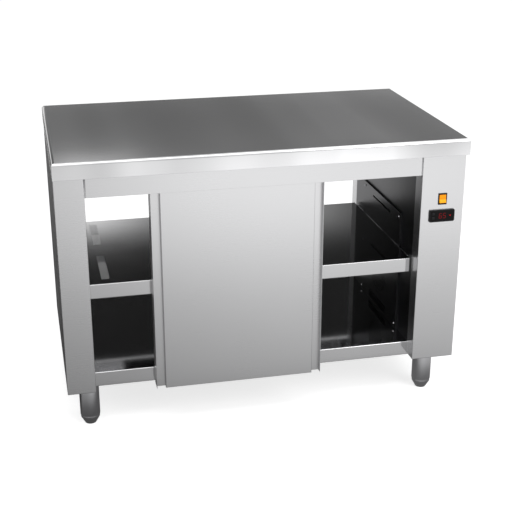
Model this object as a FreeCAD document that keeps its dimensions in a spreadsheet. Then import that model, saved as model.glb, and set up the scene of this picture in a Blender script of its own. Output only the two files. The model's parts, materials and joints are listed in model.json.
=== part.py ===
import FreeCAD, Part
import math
import os
import Sketcher

# Plate warmer cabinet: a free-standing stainless cupboard, open front to back, with a worktop, a base
# shelf, a middle shelf, two sliding doors on each side and a fan heater in its right-hand end.
# Origin: on the floor under the middle of the worktop. +X is to the right seen from the front,
# +Y is to the back and +Z is up. Lengths are in millimetres.

SIZES = [
    # whole cabinet
    ("width", 1200.0, "length of the worktop"),
    ("depth", 700.0, "depth of the worktop"),
    ("height", 850.0, "floor to worktop"),
    ("overhang", 22.4, "worktop edge to post face, front and back"),
    ("side_inset", 1.2, "worktop end to side panel"),
    ("left_post", 82.8, "face width of the left post"),
    ("right_post", 133.5, "face width of the right post"),
    ("post_bottom", 141.0, "floor to the underside of the posts"),
    ("door_well", 50.0, "post face to shelf front"),
    ("panel_sheet", 1.2, "sheet of panels and shelves"),
    ("flange", 20.0, "folded flange of panels"),
    # worktop
    ("worktop_sheet", 1.5, "sheet of the worktop"),
    ("worktop_skirt", 48.0, "height of the worktop edge"),
    ("worktop_round", 9.0, "rounding of its front and back edges"),
    ("worktop_return", 15.0, "return fold under the edge"),
    # stiffeners
    ("omega_web", 60.0, "web of a stiffener"),
    ("omega_height", 30.0, "height of a stiffener"),
    ("omega_foot", 15.0, "foot of a stiffener"),
    ("omega_end_gap", 10.0, "stiffener end to what bounds it"),
    ("omega_spacing", 220.0, "between the two worktop stiffeners"),
    # rails over the doors
    ("rail_height", 61.0, "rail below the worktop edge"),
    ("rail_seam", 4.0, "seam between rail and post"),
    # door tracks
    ("track_sheet", 1.5, "wall of the track"),
    ("track_cell", 21.6, "inside width of one run"),
    ("track_height", 31.0, "height of the track"),
    ("track_lip", 6.5, "lip that a wheel runs on"),
    ("stop_length", 20.0, "rubber stop along the track"),
    ("stop_height", 14.0, "height of a rubber stop"),
    # shelves
    ("base_top", 180.5, "floor to the base shelf"),
    ("base_flange", 46.0, "height of the base shelf's edge"),
    ("shelf_return", 15.0, "return fold under a shelf edge"),
    ("shelf_top", 463.0, "floor to the middle shelf"),
    ("shelf_flange", 44.5, "height of the middle shelf's edge"),
    ("shelf_end_gap", 1.0, "middle shelf to wall or cover"),
    # air holes in the middle shelf
    ("patch_from_wall", 39.0, "left wall to the air holes"),
    ("patch_from_front", 38.0, "shelf edge to the air holes"),
    ("patch_from_middle", 52.0, "middle of the shelf to the air holes"),
    ("vent_diameter", 5.0, "one air hole"),
    ("vent_pitch", 8.0, "hole to hole along a row"),
    # shelf supports
    ("support_leg", 25.0, "leg of a support angle"),
    ("support_sheet", 2.0, "thickness of a support angle"),
    ("support_length", 500.0, "left support angle"),
    ("bracket_length", 65.0, "right support bracket"),
    ("bracket_gap", 5.0, "cover to right bracket"),
    ("bracket_reach", 34.0, "right bracket out from its wall"),
    # legs and feet
    ("leg_inset_x", 67.0, "worktop end to leg centre"),
    ("leg_inset_y", 107.0, "worktop edge to leg centre"),
    ("leg_radius", 30.0, "tube of a leg"),
    ("leg_wall", 1.5, "wall of a leg tube"),
    ("leg_cap", 3.0, "cap on top of a leg"),
    ("leg_end", 30.0, "floor to the tube's lower end"),
    ("insert_recess", 4.0, "tube end to threaded insert"),
    ("insert_sheet", 8.0, "plate of the insert"),
    ("bush_radius", 11.0, "bush of the insert"),
    ("bush_length", 36.0, "length of the bush"),
    ("stud_radius", 5.0, "stud on a leg"),
    ("stud_length", 16.0, "stud above the cap"),
    ("stud_clearance", 0.25, "stud in its hole"),
    ("bearer_web", 80.0, "web of a leg bearer"),
    ("bearer_sheet", 3.0, "sheet of a leg bearer"),
    ("foot_radius", 28.6, "body of a foot"),
    ("foot_tip_radius", 17.0, "foot on the floor"),
    ("foot_taper", 21.5, "height of the tapered part"),
    ("foot_gap", 0.3, "foot to tube end"),
    ("stem_radius", 6.0, "threaded stem of a foot"),
    ("stem_top", 105.0, "floor to the stem's top"),
    ("running_gap", 0.05, "radial gap of a running fit"),
    # doors
    ("door_width", 504.0, "width of a door"),
    ("door_bottom", 130.6, "floor to a door"),
    ("door_top_gap", 7.8, "door to track"),
    ("door_thickness", 21.0, "front to back of a door"),
    ("door_sheet", 1.0, "sheet of a door"),
    ("door_offset", 58.65, "door at rest from the middle of the opening"),
    ("door_end_gap", 1.0, "door to post at the end of its travel"),
    ("grip_width", 27.0, "grip channel along each side"),
    ("grip_depth", 16.0, "depth of a grip channel"),
    ("door_fold", 14.0, "fold along the lower edge"),
    # hangers and wheels
    ("hanger_inset", 70.0, "door end to hanger"),
    ("hanger_foot_length", 60.0, "hanger foot along the door"),
    ("hanger_foot_width", 17.0, "hanger foot across the door"),
    ("hanger_plate", 2.5, "thickness of a hanger"),
    ("hanger_length", 16.0, "hanger upright along the door"),
    ("hanger_above_axle", 6.5, "hanger over its axle"),
    ("wheel_radius", 9.0, "wheel"),
    ("wheel_gap", 0.3, "wheel over its lip"),
    ("wheel_inside", 2.25, "door centre to a wheel's inner side"),
    ("wheel_width", 6.0, "width of a wheel"),
    ("axle_radius", 2.5, "axle of the wheels"),
    ("axle_end", 0.8, "axle beyond the wheels"),
    ("stop_gap", 0.5, "wheel to rubber stop"),
    # lower door guides
    ("guide_width", 24.0, "guide along the door"),
    ("guide_sheet", 2.5, "plate of a guide"),
    ("guide_fin", 2.0, "fin in a door's slot"),
    ("guide_fin_rise", 20.0, "fin above a door's lower edge"),
    ("guide_gap", 2.5, "door over guide plate"),
    ("guide_pad", 24.0, "pad under the base shelf"),
    # cover of the air duct
    ("cover_proud", 6.0, "cover out from the wall"),
    ("cover_length", 360.0, "length of the cover"),
    ("cover_top", 575.0, "floor to the cover's top"),
    ("cover_sheet", 1.0, "sheet of the cover"),
    ("slot_length", 168.0, "length of an air slot"),
    ("slot_height", 6.0, "height of an air slot"),
    ("upper_slot", 546.0, "floor to the upper slot"),
    ("lower_slot", 190.0, "floor to the lower slots"),
    ("slot_pitch", 9.0, "slot to slot"),
    ("intake_hole", 6.0, "one intake hole"),
    ("intake_pitch", 11.0, "ring to ring of intake holes"),
    ("screw_inset", 14.0, "cover edge to screw"),
    ("screw_radius", 2.0, "thread of a screw"),
    ("screw_head_radius", 3.8, "head of a screw"),
    ("screw_head", 2.2, "height of a head"),
    ("screw_end", 3.0, "screw behind the wall"),
    # fan heater
    ("plenum_margin", 17.0, "cover's end to the air box"),
    ("plenum_bottom", 203.0, "floor to the air box"),
    ("plenum_top", 557.0, "floor to the air box's top"),
    ("plenum_depth", 60.0, "depth of the air box"),
    ("plenum_sheet", 1.0, "sheet of the air box"),
    ("plenum_flange", 12.0, "flange round the air box"),
    ("fan_height", 310.0, "floor to the fan's axis"),
    ("fan_radius", 75.0, "fan"),
    ("fan_from_wall", 12.0, "wall to fan"),
    ("fan_width", 34.0, "fan along its axis"),
    ("fan_plate", 1.5, "back plate of the fan"),
    ("fan_ring", 4.0, "front ring of the fan"),
    ("blade_length", 28.0, "blade"),
    ("blade_sheet", 1.2, "sheet of a blade"),
    ("hub_radius", 14.0, "hub"),
    ("shaft_radius", 4.0, "shaft"),
    ("shaft_length", 38.0, "shaft behind the fan"),
    ("shaft_hole", 10.0, "hole for the shaft"),
    ("motor_radius", 42.0, "motor"),
    ("motor_length", 48.0, "motor"),
    ("motor_bore_depth", 26.0, "bore for the shaft"),
    ("motor_boss_radius", 14.0, "boss at the motor's back"),
    ("motor_boss", 6.0, "boss at the motor's back"),
    ("element_radius", 95.0, "ring of the heating element"),
    ("element_tube", 4.25, "tube of the element"),
    ("element_from_wall", 30.0, "wall to element ring"),
    ("element_sleeve", 5.5, "sleeve on each end of the element"),
    ("element_tail", 14.0, "sleeve behind the air box"),
    ("element_collar", 8.5, "fixing collar of a tail"),
    ("element_collar_length", 5.0, "fixing collar of a tail"),
    ("sensor_y", 60.0, "sensors from the middle"),
    ("sensor_height", 490.0, "floor to the sensors"),
    ("probe_radius", 3.0, "temperature probe"),
    ("probe_inside", 40.0, "probe inside the air box"),
    ("probe_outside", 18.0, "probe behind the air box"),
    ("probe_collar", 7.0, "collar of the probe"),
    ("probe_collar_length", 6.0, "collar of the probe"),
    ("cutout_radius", 12.5, "safety thermostat"),
    ("cutout_length", 10.0, "safety thermostat"),
    ("tab_width", 6.3, "tab of the thermostat"),
    ("tab_sheet", 0.8, "tab of the thermostat"),
    ("tab_length", 9.0, "tab of the thermostat"),
    ("terminal_length", 76.0, "terminal block"),
    ("terminal_width", 30.0, "terminal block"),
    ("terminal_height", 26.0, "terminal block"),
    ("terminal_inset", 52.6, "shelf edge to terminal block's middle"),
    ("terminal_well", 3.2, "screw well of a terminal"),
    ("terminal_well_depth", 8.0, "screw well of a terminal"),
    ("terminal_pitch", 12.0, "terminal to terminal"),
    ("gland_height", 222.0, "floor to the cable gland"),
    ("gland_bore", 5.0, "bore for the supply cable"),
    ("gland_thread", 10.0, "thread of the gland"),
    ("gland_collar", 13.0, "collars of the gland"),
    ("gland_collar_length", 6.0, "collars of the gland"),
    ("gland_dome", 10.5, "outer dome of the gland"),
    ("gland_outside", 21.0, "gland out from the panel"),
    ("gland_inside", 12.0, "gland inside the panel"),
    ("gland_chamfer", 3.0, "chamfer of the dome"),
    ("louvre_length", 70.0, "length of a louvre"),
    ("louvre_height", 4.0, "louvre"),
    ("louvre_pitch", 12.0, "louvre to louvre"),
    ("louvre_bottom", 520.0, "floor to the lowest louvre"),
    # switch
    ("switch_drop", 185.0, "worktop to the switch"),
    ("bezel_width", 27.0, "width of the switch bezel"),
    ("bezel_height", 35.0, "height of the switch bezel"),
    ("bezel_proud", 2.5, "switch bezel"),
    ("switch_width", 24.0, "width of the switch body"),
    ("switch_body_height", 31.0, "height of the switch body"),
    ("switch_depth", 22.0, "switch body behind the panel"),
    ("fitting_gap", 0.2, "body in its panel cut-out"),
    ("rocker_width", 20.0, "width of the rocker"),
    ("rocker_height", 24.8, "height of the rocker"),
    ("rocker_back_height", 20.0, "height of the rocker's back"),
    ("rocker_valley", 4.0, "pivot to the rocker's valley"),
    ("rocker_back", 3.0, "pivot to the rocker's back"),
    ("rocker_gap", 0.4, "rocker to housing at its sides"),
    ("rocker_end_gap", 1.2, "rocker to housing at its ends"),
    ("pivot_depth", 1.0, "panel face to pivot"),
    ("pivot_radius", 2.0, "pivot pin"),
    ("pivot_end", 1.2, "pivot pin beyond the rocker"),
    ("rocker_well", 8.0, "well behind the pivot"),
    # temperature controller
    ("controller_drop", 237.0, "worktop to the controller"),
    ("controller_width", 80.0, "width of the controller bezel"),
    ("controller_bezel_height", 38.0, "height of the controller bezel"),
    ("controller_proud", 4.0, "controller bezel"),
    ("controller_round", 5.0, "corners of the bezel"),
    ("controller_body_width", 70.0, "width of the controller body"),
    ("controller_body_height", 28.0, "height of the controller body"),
    ("controller_depth", 55.0, "controller body behind the panel"),
    ("window_margin", 3.5, "bezel round the window"),
    ("window_sheet", 1.0, "window"),
    ("window_gap", 0.1, "window in its recess"),
    ("key_from_middle", 27.0, "controller's middle to its keys"),
    ("key_spacing", 13.0, "key to key"),
    ("key_width", 8.0, "width of a key"),
    ("key_height", 7.0, "height of a key"),
    ("key_depth", 2.2, "key behind the window's face"),
    ("key_proud", 0.8, "key out from the window's face"),
    ("key_gap", 0.25, "key in its hole"),
    ("key_travel", 0.8, "room behind a key"),
]
BLADES = 24
TERMINALS = 6
LOUVRES = 8
LOWER_SLOTS = 3
INTAKE_RINGS = 6
VENT_COLUMNS = 3
VENT_ROWS = 27
# Degrees.
ELEMENT_SWEEP = 330
ROCKER_TILT = 10

doc = FreeCAD.newDocument("plate_warmer")
sheet = doc.addObject("Spreadsheet::Sheet", "sizes")
for row, (alias, number, note) in enumerate(SIZES, 1):
    sheet.set(f"A{row}", alias)
    sheet.set(f"B{row}", str(number))
    sheet.set(f"C{row}", note)
    sheet.setAlias(f"B{row}", alias)
doc.recompute()


def number_of(item):
    """The plain number of a size, an angle or a number."""
    return item.number if isinstance(item, Size) else float(item)


def text_of(item):
    """The expression that gives a size in the sheet's terms."""
    return item.text if isinstance(item, Size) else repr(float(item))


class Size:
    """A length that carries both its number and the sheet expression that it comes from."""

    def __init__(self, number, text):
        self.number = number
        self.text = text

    def __float__(self):
        return self.number

    def __add__(self, other):
        return Size(self.number + number_of(other), f"({self.text} + {text_of(other)})")

    def __radd__(self, other):
        return Size(number_of(other) + self.number, f"({text_of(other)} + {self.text})")

    def __sub__(self, other):
        return Size(self.number - number_of(other), f"({self.text} - {text_of(other)})")

    def __rsub__(self, other):
        return Size(number_of(other) - self.number, f"({text_of(other)} - {self.text})")

    def __mul__(self, other):
        return Size(self.number * number_of(other), f"({self.text} * {text_of(other)})")

    __rmul__ = __mul__

    def __truediv__(self, other):
        return Size(self.number / number_of(other), f"({self.text} / {text_of(other)})")

    def __neg__(self):
        return Size(-self.number, f"(-1 * {self.text})")


class Sizes:
    """The sheet's values by name."""


k = Sizes()
for alias, number, note in SIZES:
    setattr(k, alias, Size(float(sheet.get(alias)), f"sizes.{alias}"))


def bind(item, prop, size):
    """Ties a property to the sheet."""
    item.setExpression(prop, text_of(size))


def pair(one, other):
    """The two places in rising order."""
    return (one, other) if float(one) < float(other) else (other, one)


def around(middle, half):
    """The span that reaches half a width to each side of a middle."""
    return middle - half, middle + half


# Sub-parts, in the order in which they are made.
parts = []


def keep(item, label):
    item.Label = label
    parts.append(item)
    return item


def body(label, several=False):
    """An empty body for one sub-part. A group of separate solids allows several."""
    item = doc.addObject("PartDesign::Body", label)
    if several:
        item.AllowCompound = True
    return keep(item, label)


def place(item, x, y, z, turn=None):
    """Puts a finished item at a bound place, turned about its own origin first."""
    item.Placement = FreeCAD.Placement(FreeCAD.Vector(), turn or FreeCAD.Rotation())
    for axis, value in zip("xyz", (x, y, z)):
        bind(item, f"Placement.Base.{axis}", value)


TOWARDS = {
    "x": FreeCAD.Rotation(FreeCAD.Vector(0, 1, 0), 90),
    "y": FreeCAD.Rotation(FreeCAD.Vector(1, 0, 0), -90),
    "z": FreeCAD.Rotation(),
}


def box(owner, kind, x, y, z):
    """Adds or cuts a block between two places along each axis. kind is Additive or Subtractive."""
    block = owner.newObject(f"PartDesign::{kind}Box", "block")
    for prop, (low, high) in zip(("Length", "Width", "Height"), (x, y, z)):
        bind(block, prop, high - low)
    place(block, x[0], y[0], z[0])
    return block


def rod(owner, kind, radius, x, y, z, axis):
    """Adds or cuts a round rod. The place along its axis is a span, the others are its centre."""
    spans = {"x": x, "y": y, "z": z}
    low, high = spans[axis]
    spans[axis] = low
    piece = owner.newObject(f"PartDesign::{kind}Cylinder", "rod")
    bind(piece, "Radius", radius)
    bind(piece, "Height", high - low)
    place(piece, spans["x"], spans["y"], spans["z"], TOWARDS[axis])
    return piece


def origin_part(owner, role):
    return next(item for item in owner.Origin.OriginFeatures if item.Role == role)


def outline(owner, plane, corners, level=0.0):
    """A closed sketch of straight sides. Each corner is tied to the origin by two bound distances."""
    sketch = owner.newObject("Sketcher::SketchObject", "outline")
    sketch.AttachmentSupport = [(origin_part(owner, plane), "")]
    sketch.MapMode = "FlatFace"
    bind(sketch, "AttachmentOffset.Base.z", level)
    points = [FreeCAD.Vector(float(u), float(v), 0) for u, v in corners]
    sketch.addGeometry([Part.LineSegment(a, b) for a, b in zip(points, points[1:] + points[:1])])
    count = len(corners)
    sketch.addConstraint(
        [Sketcher.Constraint("Coincident", side, 2, (side + 1) % count, 1) for side in range(count)]
    )
    ties = []
    places = []
    for side, corner in enumerate(corners):
        for kind, distance in zip(("DistanceX", "DistanceY"), corner):
            ties.append(Sketcher.Constraint(kind, -1, 1, side, 1, float(distance)))
            places.append(distance)
    for index, distance in zip(sketch.addConstraint(ties), places):
        sketch.setExpression(f"Constraints[{index}]", text_of(distance))
    return sketch


def pad(owner, sketch, length):
    """Raises a sketch along its plane's normal: +Z on XY, -Y on XZ and +X on YZ."""
    feature = owner.newObject("PartDesign::Pad", "pad")
    feature.Profile = sketch
    bind(feature, "Length", length)
    return feature


def turned(label, corners, axis="z"):
    """A body of revolution from an outline of radii and heights, standing along an axis."""
    owner = body(label)
    sketch = outline(owner, "XZ_Plane", corners)
    turn = owner.newObject("PartDesign::Revolution", "turn")
    turn.Profile = sketch
    turn.ReferenceAxis = (sketch, ["V_Axis"])
    turn.Angle = 360
    owner.Placement = FreeCAD.Placement(FreeCAD.Vector(), TOWARDS[axis])
    return owner


def bend(owner, radius, wanted):
    """Rounds the edges of a body that a test picks by where they lie."""
    doc.recompute()
    last = owner.Tip
    names = [f"Edge{n}" for n, edge in enumerate(last.Shape.Edges, 1) if wanted(edge)]
    fillet = owner.newObject("PartDesign::Fillet", "bend")
    fillet.Base = (last, names)
    bind(fillet, "Radius", radius)
    return fillet


TOLERANCE_SHARE = 1e-6
near = float(k.width) * TOLERANCE_SHARE


def same(one, other):
    return abs(float(one) - float(other)) < near


# Main planes of the cabinet.
left_out = k.side_inset - k.width / 2
left_in = left_out + k.left_post
right_out = k.width / 2 - k.side_inset
right_in = right_out - k.right_post
opening_middle = (left_in + right_in) / 2
face = k.depth / 2 - k.overhang
well = face - k.door_well
under = k.height - k.worktop_sheet
body_top = k.height - k.worktop_skirt
base_bottom = k.base_top - k.base_flange
sides = (("front", -1), ("rear", 1))


# Worktop: a tray of folded sheet, its front and back edges rounded, with return folds underneath.
top_end = k.width / 2 - k.worktop_sheet
top_edge = k.depth / 2 - k.worktop_sheet
fold_end = top_end - k.worktop_return
fold_edge = top_edge - k.worktop_return
worktop = body("worktop")
box(worktop, "Additive", around(0, k.width / 2), around(0, k.depth / 2), (body_top, k.height))
box(worktop, "Subtractive", around(0, top_end), around(0, top_edge), (body_top, under))
for sign in (-1, 1):
    fold = (body_top, body_top + k.worktop_sheet)
    box(worktop, "Additive", around(0, top_end), pair(sign * fold_edge, sign * top_edge), fold)
    box(worktop, "Additive", pair(sign * fold_end, sign * top_end), around(0, top_edge), fold)
bend(
    worktop,
    k.worktop_round - k.worktop_sheet,
    lambda edge: all(same(abs(v.Y), top_edge) and same(v.Z, under) for v in edge.Vertexes),
)
bend(
    worktop,
    k.worktop_round,
    lambda edge: all(same(abs(v.Y), k.depth / 2) and same(v.Z, k.height) for v in edge.Vertexes),
)


def omega(owner, plane, middle, top, web, height, foot, metal, span):
    """Adds a top-hat channel under a sheet. It runs along X on the YZ plane, or along Y on XZ."""
    half = web / 2
    corners = [
        (middle - half - foot, top),
        (middle - half + metal, top),
        (middle - half + metal, top - height + metal),
        (middle + half - metal, top - height + metal),
        (middle + half - metal, top),
        (middle + half + foot, top),
        (middle + half + foot, top - metal),
        (middle + half, top - metal),
        (middle + half, top - height),
        (middle - half, top - height),
        (middle - half, top - metal),
        (middle - half - foot, top - metal),
    ]
    low, high = span
    level = low if plane == "YZ_Plane" else -high
    pad(owner, outline(owner, plane, corners, level), high - low)


# Omega stiffeners: two under the worktop and one under the middle shelf.
shelf_left = left_in + k.shelf_end_gap
shelf_right = right_in - k.cover_proud - k.shelf_end_gap
shelf_under = k.shelf_top - k.panel_sheet
stiffeners = body("omega_stiffeners", several=True)
for sign in (-1, 1):
    omega(
        stiffeners, "YZ_Plane", sign * k.omega_spacing / 2, under,
        k.omega_web, k.omega_height, k.omega_foot, k.panel_sheet,
        (left_in + k.omega_end_gap, right_in - k.omega_end_gap),
    )
omega(
    stiffeners, "YZ_Plane", 0, shelf_under,
    k.omega_web, k.omega_height, k.omega_foot, k.panel_sheet,
    (left_in + k.support_leg + k.omega_end_gap, shelf_right - k.omega_end_gap),
)


def side_panel(label, outer, inner, sign):
    """A folded end panel: its side, both post faces and the returns into the door wells."""
    metal = k.panel_sheet * sign
    item = body(label)
    corners = [
        (outer, -face),
        (inner, -face),
        (inner, -well),
        (inner - metal, -well),
        (inner - metal, k.panel_sheet - face),
        (outer + metal, k.panel_sheet - face),
        (outer + metal, face - k.panel_sheet),
        (inner - metal, face - k.panel_sheet),
        (inner - metal, well),
        (inner, well),
        (inner, face),
        (outer, face),
    ]
    pad(item, outline(item, "XY_Plane", corners, k.post_bottom), body_top - k.post_bottom)
    hollow = pair(outer + metal, inner - metal)
    rim = (body_top - k.panel_sheet, body_top)
    box(item, "Additive", pair(outer + metal, outer + metal + k.flange * sign),
        around(0, face - k.panel_sheet), rim)
    for way in (-1, 1):
        pocket = pair(way * well, way * (face - k.panel_sheet))
        box(item, "Additive", hollow, pocket, (k.post_bottom, k.post_bottom + k.panel_sheet))
        edge = pair(way * (face - k.panel_sheet), way * (face - k.panel_sheet - k.flange))
        box(item, "Additive", hollow, edge, rim)
    return item


# Left end panel, and the right one, which holds the controls, the louvres and the cable gland.
side_panel("left_side_panel", left_out, left_in, 1)
right_panel = side_panel("right_side_panel", right_out, right_in, -1)
control_x = (right_out + right_in) / 2
switch_z = k.height - k.switch_drop
controller_z = k.height - k.controller_drop
front_sheet = (-face, k.panel_sheet - face)
rear_sheet = (face - k.panel_sheet, face)
box(right_panel, "Subtractive", around(control_x, k.switch_width / 2 + k.fitting_gap), front_sheet,
    around(switch_z, k.switch_body_height / 2 + k.fitting_gap))
box(right_panel, "Subtractive", around(control_x, k.controller_body_width / 2 + k.fitting_gap),
    front_sheet, around(controller_z, k.controller_body_height / 2 + k.fitting_gap))
rod(right_panel, "Subtractive", k.gland_thread, control_x, rear_sheet, k.gland_height, "y")
for number in range(LOUVRES):
    low = k.louvre_bottom + k.louvre_pitch * number
    box(right_panel, "Subtractive", around(control_x, k.louvre_length / 2), rear_sheet,
        (low, low + k.louvre_height))


def inner_wall(label, inner, sign):
    """A wall of the heated space, standing on the base shelf, with flanges on its hidden side."""
    metal = k.panel_sheet * sign
    item = body(label)
    sheet_x = pair(inner - metal, inner)
    hidden_x = pair(inner - metal, inner - metal - k.flange * sign)
    box(item, "Additive", sheet_x, around(0, well), (k.base_top, under))
    box(item, "Additive", hidden_x, around(0, well), (k.base_top, k.base_top + k.panel_sheet))
    box(item, "Additive", hidden_x, around(0, well), (under - k.panel_sheet, under))
    for way in (-1, 1):
        box(item, "Additive", hidden_x, pair(way * well, way * (well - k.panel_sheet)),
            (k.base_top, under))
    return item


# Inner walls. The right one has the window of the air box and the cover's screw holes.
inner_wall("left_inner_wall", left_in, 1)
right_wall = inner_wall("right_inner_wall", right_in, -1)
wall_out = right_in + k.panel_sheet
wall_x = (right_in, wall_out)
plenum_end = k.cover_length / 2 - k.plenum_margin
plenum_inside = plenum_end - k.plenum_sheet
box(right_wall, "Subtractive", wall_x, around(0, plenum_inside),
    (k.plenum_bottom + k.plenum_sheet, k.plenum_top - k.plenum_sheet))
screw_y = k.cover_length / 2 - k.screw_inset
screw_z = (k.base_top + k.screw_inset, k.cover_top - k.screw_inset)
screw_places = [(way * screw_y, z) for way in (-1, 1) for z in screw_z]


# Rails over the doors: front plate, a shelf over the tracks and a web up to the worktop.
for name, sign in sides:
    rail = body(f"{name}_rail")
    box(rail, "Additive", (left_in + k.rail_seam, right_in - k.rail_seam),
        pair(sign * face, sign * (face - k.panel_sheet)), (body_top - k.rail_height, body_top))
    box(rail, "Additive", (left_in, right_in),
        pair(sign * (face - k.panel_sheet), sign * (well - k.panel_sheet)),
        (body_top - k.panel_sheet, body_top))
    box(rail, "Additive", (left_in, right_in),
        pair(sign * well, sign * (well - k.panel_sheet)), (body_top - k.panel_sheet, under))
    box(rail, "Additive", (left_in, right_in),
        pair(sign * well, sign * (well - k.flange)), (under - k.panel_sheet, under))


# Door tracks: one extrusion of two runs on each side, with lips that the wheels run on.
track_out = face - k.panel_sheet
track_top = body_top - k.panel_sheet
track_bottom = track_top - k.track_height
lip_top = track_bottom + k.track_sheet
run_pitch = k.track_cell + k.track_sheet
first_run = track_out - k.track_sheet - k.track_cell / 2
for name, sign in sides:
    ceiling = track_top - k.track_sheet
    inside = k.track_sheet
    middle = k.track_sheet + k.track_cell
    second = middle + k.track_sheet
    last = second + k.track_cell
    whole = last + k.track_sheet
    steps = [
        (0, track_top),
        (whole, track_top),
        (whole, track_bottom),
        (last - k.track_lip, track_bottom),
        (last - k.track_lip, lip_top),
        (last, lip_top),
        (last, ceiling),
        (second, ceiling),
        (second, lip_top),
        (second + k.track_lip, lip_top),
        (second + k.track_lip, track_bottom),
        (middle - k.track_lip, track_bottom),
        (middle - k.track_lip, lip_top),
        (middle, lip_top),
        (middle, ceiling),
        (inside, ceiling),
        (inside, lip_top),
        (inside + k.track_lip, lip_top),
        (inside + k.track_lip, track_bottom),
        (0, track_bottom),
    ]
    track = body(f"{name}_track")
    corners = [(sign * (track_out - inward), z) for inward, z in steps]
    pad(track, outline(track, "YZ_Plane", corners, left_in), right_in - left_in)


# Base shelf: a tray across the whole cabinet, on which the inner walls stand.
base_left = left_out + k.panel_sheet
base_right = right_out - k.panel_sheet
base = body("base_shelf")
box(base, "Additive", (base_left, base_right), around(0, well), (base_bottom, k.base_top))
box(base, "Subtractive", (base_left + k.panel_sheet, base_right - k.panel_sheet),
    around(0, well - k.panel_sheet), (base_bottom, k.base_top - k.panel_sheet))
shelf_fold = well - k.panel_sheet - k.shelf_return
for sign in (-1, 1):
    box(base, "Additive", (base_left, base_right),
        pair(sign * shelf_fold, sign * (well - k.panel_sheet)),
        (base_bottom, base_bottom + k.panel_sheet))


# Leg bearers: a heavy top-hat channel under each end of the base shelf.
leg_x = k.width / 2 - k.leg_inset_x
leg_y = k.depth / 2 - k.leg_inset_y
bearers = body("leg_bearers", several=True)
for sign in (-1, 1):
    omega(
        bearers, "XZ_Plane", sign * leg_x, k.base_top - k.panel_sheet,
        k.bearer_web, k.base_flange - k.panel_sheet, k.omega_foot, k.bearer_sheet,
        around(0, shelf_fold),
    )
for sign in (-1, 1):
    for way in (-1, 1):
        rod(bearers, "Subtractive", k.stud_radius + k.stud_clearance, sign * leg_x, way * leg_y,
            (base_bottom, base_bottom + k.bearer_sheet), "z")


# Legs with a cap and stud above and a threaded insert below, and their adjustable feet.
insert_bottom = k.leg_end + k.insert_recess
bush_bore = k.stem_radius + k.running_gap
tube_inside = k.leg_radius - k.leg_wall
leg_outline = [
    (0, base_bottom + k.stud_length),
    (k.stud_radius, base_bottom + k.stud_length),
    (k.stud_radius, base_bottom),
    (k.leg_radius, base_bottom),
    (k.leg_radius, k.leg_end),
    (tube_inside, k.leg_end),
    (tube_inside, insert_bottom),
    (bush_bore, insert_bottom),
    (bush_bore, insert_bottom + k.bush_length),
    (k.bush_radius, insert_bottom + k.bush_length),
    (k.bush_radius, insert_bottom + k.insert_sheet),
    (tube_inside, insert_bottom + k.insert_sheet),
    (tube_inside, base_bottom - k.leg_cap),
    (0, base_bottom - k.leg_cap),
]
foot_top = k.leg_end - k.foot_gap
foot_outline = [
    (0, 0),
    (k.foot_tip_radius, 0),
    (k.foot_radius, k.foot_taper),
    (k.foot_radius, foot_top),
    (k.stem_radius, foot_top),
    (k.stem_radius, k.stem_top),
    (0, k.stem_top),
]
corners_of_base = [
    (f"{name}_{end}", way * leg_x, sign * leg_y)
    for name, sign in sides
    for end, way in (("left", -1), ("right", 1))
]
for name, x, y in corners_of_base:
    place(turned(f"{name}_leg", leg_outline), x, y, 0)
    place(turned(f"{name}_foot", foot_outline), x, y, 0)


# Middle shelf: an inverted tray with open ends, drilled with two patches of air holes.
shelf_bottom = k.shelf_top - k.shelf_flange
inner_face = well - k.panel_sheet
shelf_outline = [
    (-well, k.shelf_top),
    (well, k.shelf_top),
    (well, shelf_bottom),
    (shelf_fold, shelf_bottom),
    (shelf_fold, shelf_bottom + k.panel_sheet),
    (inner_face, shelf_bottom + k.panel_sheet),
    (inner_face, shelf_under),
    (-inner_face, shelf_under),
    (-inner_face, shelf_bottom + k.panel_sheet),
    (-shelf_fold, shelf_bottom + k.panel_sheet),
    (-shelf_fold, shelf_bottom),
    (-well, shelf_bottom),
]
shelf_blank = doc.addObject("PartDesign::Body", "shelf_blank")
pad(shelf_blank, outline(shelf_blank, "YZ_Plane", shelf_outline, shelf_left), shelf_right - shelf_left)


def drilled(label, blank, places, radius, axis, low, high):
    """A sheet with many like holes: the finished sheet is its blank less one set of drills."""
    towards = FreeCAD.Vector(*axis)
    drills = [
        Part.makeCylinder(float(radius), float(high - low), FreeCAD.Vector(*spot), towards)
        for spot in places
    ]
    tool = doc.addObject("Part::Feature", f"{label}_drills")
    tool.Shape = Part.makeCompound(drills)
    cut = doc.addObject("Part::Cut", label)
    cut.Base = blank
    cut.Tool = tool
    return keep(cut, label)


def patch_holes(first_x, first_y, sign):
    """Staggered rows of holes that fill one patch, from its first corner along X and then Y."""
    radius = float(k.vent_diameter) / 2
    pitch = float(k.vent_pitch)
    length = float(well - k.patch_from_front - k.patch_from_middle - k.vent_diameter)
    row_pitch = length / (VENT_ROWS - 1)
    spots = []
    for row in range(VENT_ROWS):
        shift = pitch / 2 * (row % 2)
        for column in range(VENT_COLUMNS):
            x = float(first_x) + radius + shift + pitch * column
            y = float(first_y) - radius - row_pitch * row
            spots.append((x, sign * y, float(shelf_under)))
    return spots


patch_x = left_in + k.patch_from_wall
patch_y = well - k.patch_from_front
shelf_holes = patch_holes(patch_x, patch_y, -1) + patch_holes(patch_x, patch_y, 1)
drilled("mid_shelf", shelf_blank, shelf_holes, k.vent_diameter / 2, (0, 0, 1), shelf_under, k.shelf_top)


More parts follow.
